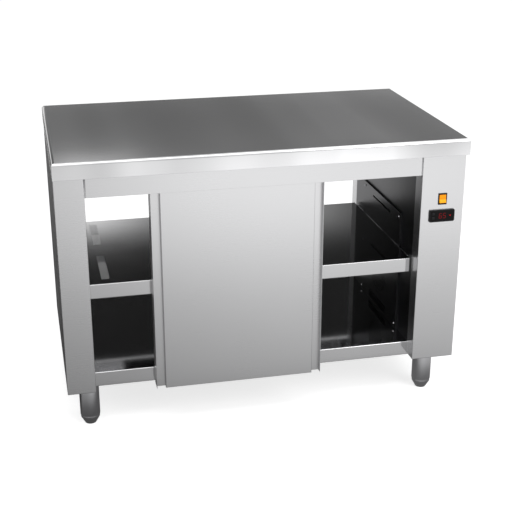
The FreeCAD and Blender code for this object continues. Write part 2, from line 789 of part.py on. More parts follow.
# Shelf supports: an angle along the left wall and two brackets beside the cover on the right wall.
supports = body("shelf_supports", several=True)
support_z = (shelf_under - k.support_sheet, shelf_under)
support_wall_z = (shelf_under - k.support_leg, shelf_under)
box(supports, "Additive", (left_in, left_in + k.support_leg), around(0, k.support_length / 2), support_z)
box(supports, "Additive", (left_in, left_in + k.support_sheet), around(0, k.support_length / 2),
    support_wall_z)
for sign in (-1, 1):
    inner_end = k.cover_length / 2 + k.bracket_gap
    span = pair(sign * inner_end, sign * (inner_end + k.bracket_length))
    box(supports, "Additive", (right_in - k.bracket_reach, right_in), span, support_z)
    box(supports, "Additive", (right_in - k.support_sheet, right_in), span, support_wall_z)


# Sliding doors. Each is a folded skin with a grip channel down both sides, a flat back, two
# hangers and two pairs of wheels in its run of the track.
door_half = k.door_width / 2
door_top = track_bottom - k.door_top_gap
axle_z = lip_top + k.wheel_gap + k.wheel_radius
hanger_x = door_half - k.hanger_inset
wheel_outside = k.wheel_inside + k.wheel_width
axle_half = wheel_outside + k.axle_end
wheel_outline = [
    (0, -axle_half),
    (k.axle_radius, -axle_half),
    (k.axle_radius, -wheel_outside),
    (k.wheel_radius, -wheel_outside),
    (k.wheel_radius, -k.wheel_inside),
    (k.axle_radius, -k.wheel_inside),
    (k.axle_radius, k.wheel_inside),
    (k.wheel_radius, k.wheel_inside),
    (k.wheel_radius, wheel_outside),
    (k.axle_radius, wheel_outside),
    (k.axle_radius, axle_half),
    (0, axle_half),
]


def door(name, sign, run, middle):
    """Makes one door. run counts the track's runs from the outside, middle is its centre in X."""
    centre = first_run - run_pitch * run
    front = centre + k.door_thickness / 2
    metal = k.door_sheet
    step = door_half - k.grip_width
    floor = k.grip_depth + metal

    def across(inward):
        return sign * (front - inward)

    profile = [
        (-door_half, 0),
        (metal - door_half, 0),
        (metal - door_half, k.grip_depth),
        (-step, k.grip_depth),
        (-step, 0),
        (step, 0),
        (step, k.grip_depth),
        (door_half - metal, k.grip_depth),
        (door_half - metal, 0),
        (door_half, 0),
        (door_half, floor),
        (step - metal, floor),
        (step - metal, metal),
        (metal - step, metal),
        (metal - step, floor),
        (-door_half, floor),
    ]
    tall = (k.door_bottom, door_top)
    skin = body(f"{name}_skin")
    corners = [(middle + x, across(inward)) for x, inward in profile]
    pad(skin, outline(skin, "XY_Plane", corners, k.door_bottom), door_top - k.door_bottom)
    panel_x = around(middle, step - metal)
    back_inside = k.door_thickness - metal
    box(skin, "Additive", panel_x, pair(across(metal), across(back_inside)),
        (door_top - metal, door_top))
    box(skin, "Additive", panel_x, pair(across(metal), across(k.door_fold)),
        (k.door_bottom, k.door_bottom + metal))

    back = body(f"{name}_back")
    box(back, "Additive", around(middle, door_half),
        pair(across(back_inside), across(k.door_thickness)), tall)
    for end in (-1, 1):
        box(back, "Additive",
            pair(middle + end * door_half, middle + end * (door_half - metal)),
            pair(across(floor), across(back_inside)), tall)

    hangers = body(f"{name}_hangers", several=True)
    for end in (-1, 1):
        x = middle + end * hanger_x
        box(hangers, "Additive", around(x, k.hanger_foot_length / 2),
            around(sign * centre, k.hanger_foot_width / 2), (door_top, door_top + k.hanger_plate))
        box(hangers, "Additive", around(x, k.hanger_length / 2),
            around(sign * centre, k.hanger_plate / 2), (door_top, axle_z + k.hanger_above_axle))
    for end in (-1, 1):
        rod(hangers, "Subtractive", k.axle_radius + k.running_gap, middle + end * hanger_x,
            around(sign * centre, k.hanger_plate / 2), axle_z, "y")

    for end_name, end in (("left", -1), ("right", 1)):
        wheels = turned(f"{name}_{end_name}_wheels", wheel_outline, "y")
        place(wheels, middle + end * hanger_x, sign * centre, axle_z, TOWARDS["y"])


for name, sign in sides:
    door_middle = opening_middle + sign * k.door_offset
    door(f"{name}_outer_door", sign, 0, door_middle)
    door(f"{name}_inner_door", sign, 1, door_middle)


# Rubber stops in the tracks, where the wheels end their travel.
stops = body("track_stops", several=True)
stop_from_post = k.door_end_gap + k.hanger_inset - k.wheel_radius - k.stop_gap
for name, sign in sides:
    for run in (0, 1):
        for inner, way in ((left_in, 1), (right_in, -1)):
            near_wheel = inner + way * stop_from_post
            box(stops, "Additive", pair(near_wheel, near_wheel - way * k.stop_length),
                around(sign * (first_run - run_pitch * run), k.track_cell / 2 - k.fitting_gap),
                (lip_top, lip_top + k.stop_height))


# Lower guides: a plate under the base shelf with a fin up into the slot of each door.
slot_inward = (k.grip_depth + k.door_thickness) / 2
guides = body("door_guides", several=True)
guide_x = around(opening_middle, k.guide_width / 2)
plate_top = k.door_bottom - k.guide_gap
for name, sign in sides:
    fins = [first_run - run_pitch * run + k.door_thickness / 2 - slot_inward for run in (0, 1)]
    pad_in = well - k.guide_pad
    box(guides, "Additive", guide_x, pair(sign * (fins[0] + k.guide_fin / 2), sign * pad_in),
        (plate_top - k.guide_sheet, plate_top))
    box(guides, "Additive", guide_x, pair(sign * well, sign * pad_in), (plate_top, base_bottom))
    for fin in fins:
        box(guides, "Additive", guide_x, around(sign * fin, k.guide_fin / 2),
            (plate_top, k.door_bottom + k.guide_fin_rise))


# Cover of the air duct, on the right wall: air slots, a round of intake holes and four screws.
cover_x = (right_in - k.cover_proud, right_in)
cover_face = (right_in - k.cover_proud, right_in - k.cover_proud + k.cover_sheet)
cover_blank = doc.addObject("PartDesign::Body", "cover_blank")
box(cover_blank, "Additive", cover_x, around(0, k.cover_length / 2), (k.base_top, k.cover_top))
box(cover_blank, "Subtractive", (cover_face[1], right_in), around(0, k.cover_length / 2 - k.cover_sheet),
    (k.base_top + k.cover_sheet, k.cover_top - k.cover_sheet))
slot_lows = [k.lower_slot + k.slot_pitch * number for number in range(LOWER_SLOTS)] + [k.upper_slot]
for low in slot_lows:
    box(cover_blank, "Subtractive", cover_face, around(0, k.slot_length / 2), (low, low + k.slot_height))
for y, z in screw_places:
    rod(cover_blank, "Subtractive", k.screw_radius + k.running_gap, cover_face, y, z, "x")
    rod(right_wall, "Subtractive", k.screw_radius, wall_x, y, z, "x")

intake_spots = [(float(cover_face[0]), 0.0, float(k.fan_height))]
for circle in range(1, INTAKE_RINGS + 1):
    count = 6 * circle
    for number in range(count):
        angle = 2 * math.pi * number / count
        radius = float(k.intake_pitch) * circle
        intake_spots.append(
            (
                float(cover_face[0]),
                radius * math.cos(angle),
                float(k.fan_height) + radius * math.sin(angle),
            )
        )
drilled("heater_cover", cover_blank, intake_spots, k.intake_hole / 2, (1, 0, 0), *cover_face)

screws = body("cover_screws", several=True)
for y, z in screw_places:
    rod(screws, "Additive", k.screw_head_radius, (cover_x[0] - k.screw_head, cover_x[0]), y, z, "x")
    rod(screws, "Additive", k.screw_radius, (cover_x[0], wall_out + k.screw_end), y, z, "x")


# Air box behind the right wall, flanged to it, with holes for the shaft, element tails and probe.
plenum_z = (k.plenum_bottom, k.plenum_top)
box_back = wall_out + k.plenum_depth
box_out = box_back + k.plenum_sheet
back_x = (box_back, box_out)
plenum = body("air_box")
box(plenum, "Additive", (wall_out, box_out), around(0, plenum_end), plenum_z)
box(plenum, "Additive", (wall_out, wall_out + k.plenum_sheet),
    around(0, plenum_end + k.plenum_flange),
    (k.plenum_bottom - k.plenum_flange, k.plenum_top + k.plenum_flange))
box(plenum, "Subtractive", (wall_out, box_back), around(0, plenum_inside),
    (k.plenum_bottom + k.plenum_sheet, k.plenum_top - k.plenum_sheet))
tails = [
    (k.element_radius * math.sin(angle), k.fan_height - k.element_radius * math.cos(angle))
    for angle in (0, math.radians(ELEMENT_SWEEP))
]
rod(plenum, "Subtractive", k.shaft_hole, back_x, 0, k.fan_height, "x")
rod(plenum, "Subtractive", k.probe_radius, back_x, k.sensor_y, k.sensor_height, "x")
for y, z in tails:
    rod(plenum, "Subtractive", k.element_sleeve, back_x, y, z, "x")
for y, z in screw_places:
    rod(plenum, "Subtractive", k.screw_radius + k.running_gap, (wall_out, wall_out + k.plenum_sheet),
        y, z, "x")


# Fan: hub, back plate, blades and front ring on its shaft, which turns in the motor.
fan = body("fan_impeller")
rod(fan, "Additive", k.fan_radius, (k.fan_width - k.fan_plate, k.fan_width), 0, 0, "x")
rod(fan, "Additive", k.hub_radius, (k.fan_width / 2, k.fan_width), 0, 0, "x")
rod(fan, "Additive", k.shaft_radius, (k.fan_width, k.fan_width + k.shaft_length), 0, 0, "x")
blade = box(fan, "Additive", (0, k.fan_width - k.fan_plate),
            around(0, k.blade_sheet / 2), (k.fan_radius - k.blade_length, k.fan_radius - k.fan_ring / 4))
doc.recompute()
blades = fan.newObject("PartDesign::PolarPattern", "blades")
blades.Originals = [blade]
blades.Axis = (origin_part(fan, "X_Axis"), [""])
blades.Angle = 360
blades.Occurrences = BLADES
fan.Tip = blades
rod(fan, "Additive", k.fan_radius, (0, k.fan_plate), 0, 0, "x")
rod(fan, "Subtractive", k.fan_radius - k.fan_ring, (0, k.fan_plate), 0, 0, "x")
place(fan, wall_out + k.fan_from_wall, 0, k.fan_height)

motor = body("fan_motor")
motor_end = box_out + k.motor_length
rod(motor, "Additive", k.motor_radius, (box_out, motor_end), 0, k.fan_height, "x")
rod(motor, "Additive", k.motor_boss_radius, (motor_end, motor_end + k.motor_boss), 0,
    k.fan_height, "x")
rod(motor, "Subtractive", k.shaft_radius + k.running_gap, (box_out, box_out + k.motor_bore_depth), 0,
    k.fan_height, "x")


# Heating element: a ring of tube round the fan, both its tails leaving through the air box.
ring_x = wall_out + k.element_from_wall
ring = doc.addObject("Part::Torus", "element_ring")
bind(ring, "Radius1", k.element_radius)
bind(ring, "Radius2", k.element_tube)
ring.Angle3 = ELEMENT_SWEEP
place(ring, ring_x, 0, k.fan_height, TOWARDS["x"])
element_pieces = [ring]
for y, z in tails:
    tail = doc.addObject("Part::Cylinder", "element_tail")
    bind(tail, "Radius", k.element_sleeve)
    bind(tail, "Height", box_out + k.element_tail - ring_x + k.element_sleeve)
    place(tail, ring_x - k.element_sleeve, y, z, TOWARDS["x"])
    collar = doc.addObject("Part::Cylinder", "element_collar")
    bind(collar, "Radius", k.element_collar)
    bind(collar, "Height", k.element_collar_length)
    place(collar, box_out, y, z, TOWARDS["x"])
    element_pieces += [tail, collar]
element = doc.addObject("Part::MultiFuse", "heating_element")
element.Shapes = element_pieces
keep(element, "heating_element")


# Temperature probe and safety thermostat on the back of the air box.
probe = body("temperature_probe")
rod(probe, "Additive", k.probe_radius, (box_back - k.probe_inside, box_out + k.probe_outside),
    k.sensor_y, k.sensor_height, "x")
rod(probe, "Additive", k.probe_collar, (box_out, box_out + k.probe_collar_length),
    k.sensor_y, k.sensor_height, "x")

cutout = body("safety_thermostat")
cutout_end = box_out + k.cutout_length
rod(cutout, "Additive", k.cutout_radius, (box_out, cutout_end), -k.sensor_y, k.sensor_height, "x")
for way in (-1, 1):
    tab_z = k.sensor_height + way * k.cutout_radius / 2
    box(cutout, "Additive", (cutout_end, cutout_end + k.tab_length),
        around(-k.sensor_y, k.tab_width / 2), around(tab_z, k.tab_sheet / 2))


# Terminal block on the base shelf in the right-hand end.
terminals = body("terminal_block")
terminal_top = k.base_top + k.terminal_height
terminal_y = well - k.terminal_inset
box(terminals, "Additive", around(control_x, k.terminal_width / 2),
    around(terminal_y, k.terminal_length / 2), (k.base_top, terminal_top))
for number in range(TERMINALS):
    y = terminal_y + k.terminal_pitch * (number - (TERMINALS - 1) / 2)
    for way in (-1, 1):
        rod(terminals, "Subtractive", k.terminal_well, control_x + way * k.terminal_width / 4, y,
            (terminal_top - k.terminal_well_depth, terminal_top), "z")


# Cable gland through the rear post face, where the supply cable enters.
gland_outline = [
    (k.gland_bore, -k.gland_inside),
    (k.gland_thread, -k.gland_inside),
    (k.gland_thread, -k.panel_sheet - k.gland_collar_length),
    (k.gland_collar, -k.panel_sheet - k.gland_collar_length),
    (k.gland_collar, -k.panel_sheet),
    (k.gland_thread, -k.panel_sheet),
    (k.gland_thread, 0),
    (k.gland_collar, 0),
    (k.gland_collar, k.gland_collar_length),
    (k.gland_dome, k.gland_collar_length),
    (k.gland_dome, k.gland_outside - k.gland_chamfer),
    (k.gland_dome - k.gland_chamfer, k.gland_outside),
    (k.gland_bore, k.gland_outside),
]
gland = turned("cable_gland", gland_outline, "y")
place(gland, control_x, face, k.gland_height, TOWARDS["y"])


# Lit rocker switch: housing with its bezel, and the rocker on its pivot pins.
pivot_y = k.pivot_depth - face
bezel_front = -face - k.bezel_proud
rocker_room_z = k.rocker_height / 2 + k.rocker_end_gap
rocker_room_x = k.rocker_width / 2 + k.rocker_gap
switch = body("switch_housing")
box(switch, "Additive", around(control_x, k.bezel_width / 2), (bezel_front, -face),
    around(switch_z, k.bezel_height / 2))
box(switch, "Additive", around(control_x, k.switch_width / 2), (-face, k.switch_depth - face),
    around(switch_z, k.switch_body_height / 2))
box(switch, "Subtractive", around(control_x, rocker_room_x), (bezel_front, pivot_y + k.rocker_well),
    around(switch_z, rocker_room_z))
rod(switch, "Subtractive", k.pivot_radius + k.running_gap,
    around(control_x, k.rocker_width / 2 + k.pivot_end + k.running_gap), pivot_y,
    switch_z, "x")

rocker_crest = k.rocker_valley + k.rocker_height / 2 * math.tan(math.radians(ROCKER_TILT))
rocker_outline = [
    (-k.rocker_valley, 0),
    (-rocker_crest, k.rocker_height / 2),
    (k.rocker_back, k.rocker_back_height / 2),
    (k.rocker_back, -k.rocker_back_height / 2),
    (-rocker_crest, -k.rocker_height / 2),
]
rocker = body("switch_rocker")
pad(rocker, outline(rocker, "YZ_Plane", rocker_outline, -k.rocker_width / 2), k.rocker_width)
rod(rocker, "Additive", k.pivot_radius, around(0, k.rocker_width / 2 + k.pivot_end), 0, 0, "x")
place(rocker, control_x, pivot_y, switch_z,
      FreeCAD.Rotation(FreeCAD.Vector(1, 0, 0), -ROCKER_TILT))


# Temperature controller: housing, dark window and two keys.
bezel_y = -face - k.controller_proud
window_half_x = k.controller_width / 2 - k.window_margin
window_half_z = k.controller_bezel_height / 2 - k.window_margin
key_x = control_x - k.key_from_middle
key_room_x = around(key_x, k.key_width / 2 + k.key_gap)
controller = body("controller_housing")
box(controller, "Additive", around(control_x, k.controller_width / 2), (bezel_y, -face),
    around(controller_z, k.controller_bezel_height / 2))
bend(controller, k.controller_round, lambda edge: same(edge.Vertexes[0].X, edge.Vertexes[-1].X)
     and same(edge.Vertexes[0].Z, edge.Vertexes[-1].Z))
box(controller, "Additive", around(control_x, k.controller_body_width / 2),
    (-face, k.controller_depth - face), around(controller_z, k.controller_body_height / 2))
box(controller, "Subtractive", around(control_x, window_half_x), (bezel_y, bezel_y + k.window_sheet),
    around(controller_z, window_half_z))
window = body("controller_window")
box(window, "Additive", around(control_x, window_half_x - k.window_gap),
    (bezel_y, bezel_y + k.window_sheet), around(controller_z, window_half_z - k.window_gap))
for key_name, way in (("up", 1), ("down", -1)):
    key_z = controller_z + way * k.key_spacing / 2
    room_z = around(key_z, k.key_height / 2 + k.key_gap)
    box(window, "Subtractive", key_room_x, (bezel_y, bezel_y + k.window_sheet), room_z)
    box(controller, "Subtractive", key_room_x, (bezel_y, bezel_y + k.key_depth + k.key_travel), room_z)
    key = body(f"controller_{key_name}_key")
    box(key, "Additive", around(key_x, k.key_width / 2), (bezel_y - k.key_proud, bezel_y + k.key_depth),
        around(key_z, k.key_height / 2))


# Every object must have been made, and every sub-part must be a sound solid.
doc.recompute()
faults = []
for item in doc.Objects:
    if "Invalid" in item.State or "Error" in item.State:
        faults.append(f"{item.Label} is {item.State}")
for item in parts:
    if item.Shape.isNull() or not item.Shape.isValid() or not item.Shape.Solids:
        faults.append(f"{item.Label} has no sound solid")
if faults:
    raise RuntimeError("; ".join(faults))

os.makedirs("parts", exist_ok=True)
for item in parts:
    item.Shape.exportStep(f"parts/{item.Label}.step")
print(len(parts), "sub-parts,", sum(len(item.Shape.Solids) for item in parts), "solids")
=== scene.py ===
import json
import math

import bmesh
import bpy
import numpy as np
from mathutils import Matrix, Vector

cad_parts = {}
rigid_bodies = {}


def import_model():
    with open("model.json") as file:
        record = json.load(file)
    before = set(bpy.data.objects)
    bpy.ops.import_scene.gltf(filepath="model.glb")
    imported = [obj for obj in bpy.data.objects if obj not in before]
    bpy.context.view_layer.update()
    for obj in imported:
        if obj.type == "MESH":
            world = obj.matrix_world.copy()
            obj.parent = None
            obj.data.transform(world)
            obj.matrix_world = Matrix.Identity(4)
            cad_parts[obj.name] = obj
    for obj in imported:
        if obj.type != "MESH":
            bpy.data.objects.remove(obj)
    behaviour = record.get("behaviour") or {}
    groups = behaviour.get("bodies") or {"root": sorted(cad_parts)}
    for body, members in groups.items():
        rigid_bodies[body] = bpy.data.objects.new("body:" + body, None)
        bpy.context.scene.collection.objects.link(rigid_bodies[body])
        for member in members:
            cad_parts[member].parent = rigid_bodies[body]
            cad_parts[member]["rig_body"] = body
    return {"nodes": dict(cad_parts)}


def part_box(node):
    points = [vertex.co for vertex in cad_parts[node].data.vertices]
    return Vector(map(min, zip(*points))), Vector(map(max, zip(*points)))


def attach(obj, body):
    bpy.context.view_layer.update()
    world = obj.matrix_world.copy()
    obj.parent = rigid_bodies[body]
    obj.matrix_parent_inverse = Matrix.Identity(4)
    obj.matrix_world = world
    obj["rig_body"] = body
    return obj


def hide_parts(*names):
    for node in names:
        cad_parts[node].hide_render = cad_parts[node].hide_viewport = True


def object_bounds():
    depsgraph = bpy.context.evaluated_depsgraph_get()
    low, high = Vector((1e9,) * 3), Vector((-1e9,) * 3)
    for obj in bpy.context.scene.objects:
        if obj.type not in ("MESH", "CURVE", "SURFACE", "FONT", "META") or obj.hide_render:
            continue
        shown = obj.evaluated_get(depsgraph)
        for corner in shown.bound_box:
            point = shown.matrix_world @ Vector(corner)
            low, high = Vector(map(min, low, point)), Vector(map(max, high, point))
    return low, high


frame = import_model()
cad_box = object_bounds()


# Base shelf. A tray of 1.2 mm stainless sheet right across the cabinet, folded down at its front and
# back. It carries the posts, the inner walls and, through its bearers, the legs.


def linear(colour):
    """An sRGB hex colour as linear red, green, blue and alpha."""
    shares = (int(colour[place : place + 2], 16) / 255 for place in (1, 3, 5))
    return (*(s / 12.92 if s <= 0.04045 else ((s + 0.055) / 1.055) ** 2.4 for s in shares), 1.0)


def add(tree, kind, inputs=(), **settings):
    """Adds a node. An input is a value, another node's output, or a tuple of outputs, all linked to it."""
    item = tree.nodes.new(kind)
    for name, value in settings.items():
        setattr(item, name, value)
    for name, value in dict(inputs).items():
        sources = value if isinstance(value, tuple) else (value,)
        if isinstance(sources[0], bpy.types.NodeSocket):
            for source in sources:
                tree.links.new(source, item.inputs[name])
        else:
            item.inputs[name].default_value = value
    return item


def shader(name):
    """A new material with an empty node tree and its object coordinates."""
    material = bpy.data.materials.new(name)
    material.use_nodes = True
    material.node_tree.nodes.clear()
    place = add(material.node_tree, "ShaderNodeTexCoord").outputs["Object"]
    return material, material.node_tree, place


# Brushing: how long its streaks are, how far apart and how deep, the size of the smears that handling
# leaves, and the width, length and first place of the bands, which are painted reflections.
GRAIN_LENGTH, GRAIN_PITCH = 0.25, 0.0016
SCRATCH_DEPTH = 0.0001
SMEAR = 0.22
BAND_WIDE, BAND_LONG = 0.24, 5.0
BAND_START = 0.35
# The parts of a noise's range that are spread over a finish.
NOISE_SPAN = {"From Min": 0.3, "From Max": 0.7}
BAND_SPAN = {"From Min": 0.35, "From Max": 0.65}


def brushed_steel(name, colour, along, roughness, relief=0.012, uneven=0.014, painted_bands=0.0):
    """Metal ground, rolled or drawn one way, mostly EN 1.4301 stainless: a soft sheen with streaks along it.

    A belt's real scratches are under 0.1 mm apart. They are drawn 1.6 mm apart, so that they show.
    Bands are broad, faint stripes from the front to the back of a wide sheet: painted reflections, multiplied
    into its colour.
    """
    material, tree, place = shader(name)
    scale = [1 / GRAIN_PITCH] * 3
    scale["XYZ".index(along)] = 1 / GRAIN_LENGTH
    stretched = add(tree, "ShaderNodeMapping", {"Vector": place, "Scale": scale}).outputs["Vector"]
    streaks = add(
        tree, "ShaderNodeTexNoise", {"Vector": stretched, "Scale": 1.0, "Detail": 4.0, "Roughness": 0.65}
    ).outputs["Fac"]
    smears = add(
        tree, "ShaderNodeTexNoise", {"Vector": place, "Scale": 1 / SMEAR, "Detail": 2.0}
    ).outputs["Fac"]
    both = add(tree, "ShaderNodeMix", {"Factor": 0.5, "A": streaks, "B": smears}).outputs["Result"]
    rough = add(
        tree,
        "ShaderNodeMapRange",
        {"Value": both, **NOISE_SPAN, "To Min": roughness - uneven, "To Max": roughness + uneven},
    ).outputs["Result"]
    tint = add(
        tree, "ShaderNodeMapRange", {"Value": both, **NOISE_SPAN, "To Min": 1 - uneven, "To Max": 1 + uneven}
    ).outputs["Result"]
    # Painted reflection: broad lighter and darker stripes from front to back, multiplied into the colour.
    if painted_bands:
        scale = (1 / BAND_WIDE, 1 / BAND_LONG, 1 / BAND_LONG)
        wide = add(
            tree, "ShaderNodeMapping", {"Vector": place, "Location": (BAND_START, 0.0, 0.0), "Scale": scale}
        ).outputs["Vector"]
        stripes = add(
            tree, "ShaderNodeTexNoise", {"Vector": wide, "Scale": 1.0, "Detail": 1.0}
        ).outputs["Fac"]
        stripes = add(
            tree,
            "ShaderNodeMapRange",
            {"Value": stripes, **BAND_SPAN, "To Min": 1 - painted_bands, "To Max": 1 + painted_bands},
        ).outputs["Result"]
        tint = add(tree, "ShaderNodeMath", {0: tint, 1: stripes}, operation="MULTIPLY").outputs["Value"]
    shade = add(
        tree, "ShaderNodeVectorMath", {0: linear(colour)[:3], "Scale": tint}, operation="SCALE"
    ).outputs["Vector"]
    bump = add(
        tree, "ShaderNodeBump", {"Height": streaks, "Strength": relief, "Distance": SCRATCH_DEPTH}
    ).outputs["Normal"]
    steel = add(
        tree,
        "ShaderNodeBsdfPrincipled",
        {"Base Color": shade, "Metallic": 1.0, "Roughness": rough, "Normal": bump},
    )
    add(tree, "ShaderNodeOutputMaterial", {"Surface": steel.outputs["BSDF"]})
    return material


# A length that no edge has, which keeps a division safe, and one that counts as touching.
NO_LENGTH = 1e-12
MICRON = 1e-6


def widths(face):
    """How wide a face is beside each of its edges, measured square to the edge from its middle."""
    start = np.array([loop.vert.co[:] for loop in face.loops])
    along = np.roll(start, -1, axis=0) - start
    along /= np.linalg.norm(along, axis=1)[:, None] + NO_LENGTH
    middle = (start + np.roll(start, -1, axis=0)) / 2
    inward = np.cross(np.array(face.normal[:]), along)
    found = []
    for line, point, across in zip(along, middle, inward):
        side = (start - point) @ line
        depth = (start - point) @ across
        next_side = np.roll(side, -1)
        crossing = side * next_side < 0
        with np.errstate(divide="ignore", invalid="ignore"):
            distance = depth + (np.roll(depth, -1) - depth) * side / (side - next_side)
        distance = distance[crossing & (distance > MICRON)]
        found.append(distance.min() if len(distance) else 0.0)
    return found


# Press-brake work: the rounding of a fold, its share inside a corner, the share of its own width by which a
# narrow face such as a cut edge is eased, and the width from which a face isn't narrow.
FOLD = 0.002
INNER_FOLD_SHARE = 0.4
SHEET_EDGE_SHARE = 0.3
WIDE = 0.006
# Points this close are one point, and faces that turn by less than this are one face.
WELD = 2e-6
FLAT = math.radians(0.5)
# The turns from which an edge is a fold, and is sharp to the eye, and by how much a normal may stray.
FOLDED = math.radians(25)
SHARP = math.radians(30)
STRAY = math.radians(20)
# What a tangled face's easing is multiplied by, try after try, and twice the area in square metres from
# which a triangle that has turned over shows.
RETRY_SHARES = (0.4, 0.4, 0.0, 0.0)
TURNED_OVER = 2e-8


def crossed(mesh):
    """The source faces of polygons whose eased outline crosses itself, which would show as a dark flake."""
    mesh.calc_loop_triangles()
    spots = np.empty((len(mesh.vertices), 3))
    mesh.vertices.foreach_get("co", spots.ravel())
    corners = np.empty((len(mesh.loop_triangles), 3), np.int32)
    mesh.loop_triangles.foreach_get("vertices", corners.ravel())
    owner = np.empty(len(mesh.loop_triangles), np.int32)
    mesh.loop_triangles.foreach_get("polygon_index", owner)
    out = np.empty((len(mesh.polygons), 3))
    mesh.polygons.foreach_get("normal", out.ravel())
    one, two, three = (spots[corners[:, place]] for place in range(3))
    turned = (np.cross(two - one, three - one) * out[owner]).sum(axis=1) < -TURNED_OVER
    faces = np.empty(len(mesh.polygons), np.int32)
    mesh.attributes["source_face"].data.foreach_get("value", faces)
    return set(faces[owner[turned]].tolist())


def applied(piece):
    """A plain mesh of an object, as its modifiers leave it."""
    return bpy.data.meshes.new_from_object(piece.evaluated_get(bpy.context.evaluated_depsgraph_get()))


def linked(name, data):
    """A new object in the scene for a mesh, a camera or a lamp."""
    piece = bpy.data.objects.new(name, data)
    bpy.context.scene.collection.objects.link(piece)
    return piece


def finished(node, material, fold=FOLD, edge=SHEET_EDGE_SHARE):
    """A CAD node with its folds rounded and its sheet edges eased, as a press brake and a file do."""
    source = frame["nodes"][node]
    mesh = bmesh.new()
    mesh.from_mesh(source.data)
    bmesh.ops.remove_doubles(mesh, verts=mesh.verts, dist=WELD)
    bmesh.ops.dissolve_limit(mesh, angle_limit=FLAT, verts=mesh.verts, edges=mesh.edges)
    weight = mesh.edges.layers.float.new("bevel_weight_edge")
    room = {}
    for face in mesh.faces:
        for loop, width in zip(face.loops, widths(face)):
            room.setdefault(loop.edge, []).append(width)
    for line in mesh.edges:
        if len(line.link_faces) != 2 or line.calc_face_angle(0) < FOLDED:
            continue
        narrow = min(room[line])
        if narrow > WIDE and line.calc_length() > WIDE:
            size = fold if line.is_convex else fold * INNER_FOLD_SHARE
        else:
            size = min(edge * narrow, fold)
        line[weight] = min(size / fold, 1.0)
    kept = mesh.faces.layers.int.new("source_face")
    mesh.faces.index_update()
    for face in mesh.faces:
        face[kept] = face.index
    data = bpy.data.meshes.new(f"{node}_rough")
    rough = linked(f"{node}_rough", data)
    bevel = rough.modifiers.new("eased", "BEVEL")
    bevel.limit_method = "WEIGHT"
    bevel.width = fold
    bevel.segments = 3
    bevel.use_clamp_overlap = False
    bevel.harden_normals = True
    for share in RETRY_SHARES:
        mesh.to_mesh(data)
        data.shade_smooth()
        data.set_sharp_from_angle(angle=SHARP)
        made = applied(rough)
        tangled = crossed(made)
        if not tangled:
            break
        for face in mesh.faces:
            if face.index in tangled:
                for line in face.edges:
                    line[weight] *= share
    mesh.free()
    bpy.data.objects.remove(rough)
    made.attributes.remove(made.attributes["source_face"])
    made.name = f"{node}_shown"
    corners = np.empty((len(made.loops), 3), np.float32)
    made.corner_normals.foreach_get("vector", corners.ravel())
    for face in made.polygons:
        span = slice(face.loop_start, face.loop_start + face.loop_total)
        own = np.array(face.normal[:])
        if face.loop_total > 4 or (corners[span] @ own).min() < math.cos(STRAY):
            corners[span] = own
    made.normals_split_custom_set(corners.tolist())
    made.materials.clear()
    made.materials.append(material)
    piece = linked(f"{node}_shown", made)
    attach(piece, source["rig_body"])
    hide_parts(node)


# Finely ground and nearly a mirror: it shows the doors' backs and the white behind the cabinet.
shelf_steel = brushed_steel("satin_stainless_shelf", "#CECECF", "X", 0.075, relief=0.004, uneven=0.01)
finished("base_shelf", shelf_steel)

# Zinc-plated steel: a dull, faintly blue grey without the stainless pieces' shine.
structural_steel = brushed_steel("zinc_coated_steel", "#BFC2C4", "Y", 0.42, relief=0.1, uneven=0.06)
finished("leg_bearers", structural_steel)


# Legs and feet. Each leg is a length of 60 mm satin tube with a welded cap. Each foot is turned, with a
# tapered end, and screws in and out of the leg's threaded insert.
TURNED_SIDES = 96
TURNED_SHARP = math.radians(35)
# The leg's open lower end, its welded cap, and the stud above the cap.
LEG_RADIUS, LEG_BORE, LEG_BORE_DEPTH = 0.03, 0.0285, 0.004
LEG_FOOT, LEG_TOP = 0.03, 0.1345
WELD_ROUND = 0.0014
STUD_RADIUS, STUD_TOP = 0.005, 0.1505
# The foot's tip, the top of its cone, its shoulder, and the stem above that.
TIP_RADIUS, FOOT_RADIUS = 0.0173, 0.0286
CONE_TOP, SHOULDER = 0.0207, 0.0297
STEM_RADIUS, STEM_TOP = 0.006, 0.105
# By how much plain edges are broken, and the foot's roundings as steps inward and up or down.
BROKEN, DEBURRED = 0.0005, 0.0004
TIP_ROUND = ((0.0009, 0.0), (0.0004, 0.0002), (0.0, 0.0007))
CONE_ROUND = ((0.0003, 0.0), (0.0, 0.001))
SHOULDER_ROUND = ((0.0, 0.0007), (0.0003, 0.0001), (0.0006, 0.0))
LEG = [
    (LEG_BORE, LEG_FOOT + LEG_BORE_DEPTH),
    (LEG_BORE, LEG_FOOT + BROKEN),
    (LEG_BORE + BROKEN, LEG_FOOT),
    (LEG_RADIUS - DEBURRED, LEG_FOOT),
    (LEG_RADIUS, LEG_FOOT + DEBURRED),
    (LEG_RADIUS, LEG_TOP - WELD_ROUND),
    (LEG_RADIUS - DEBURRED, LEG_TOP - DEBURRED),
    (LEG_RADIUS - WELD_ROUND, LEG_TOP),
    (STUD_RADIUS, LEG_TOP),
    (STUD_RADIUS, STUD_TOP - BROKEN),
    (STUD_RADIUS - BROKEN, STUD_TOP),
]
FOOT = [
    *((TIP_RADIUS - inward, up) for inward, up in TIP_ROUND),
    *((FOOT_RADIUS - inward, CONE_TOP + up) for inward, up in CONE_ROUND),
    *((FOOT_RADIUS - inward, SHOULDER - down) for inward, down in SHOULDER_ROUND),
    (STEM_RADIUS, SHOULDER),
    (STEM_RADIUS, STEM_TOP - BROKEN),
    (STEM_RADIUS - BROKEN, STEM_TOP),
]


def solid(name, mesh, material):
    """A new object made from a bmesh, which it uses up, in one material."""
    data = bpy.data.meshes.new(name)
    mesh.to_mesh(data)
    mesh.free()
    data.materials.append(material)
    return linked(name, data)


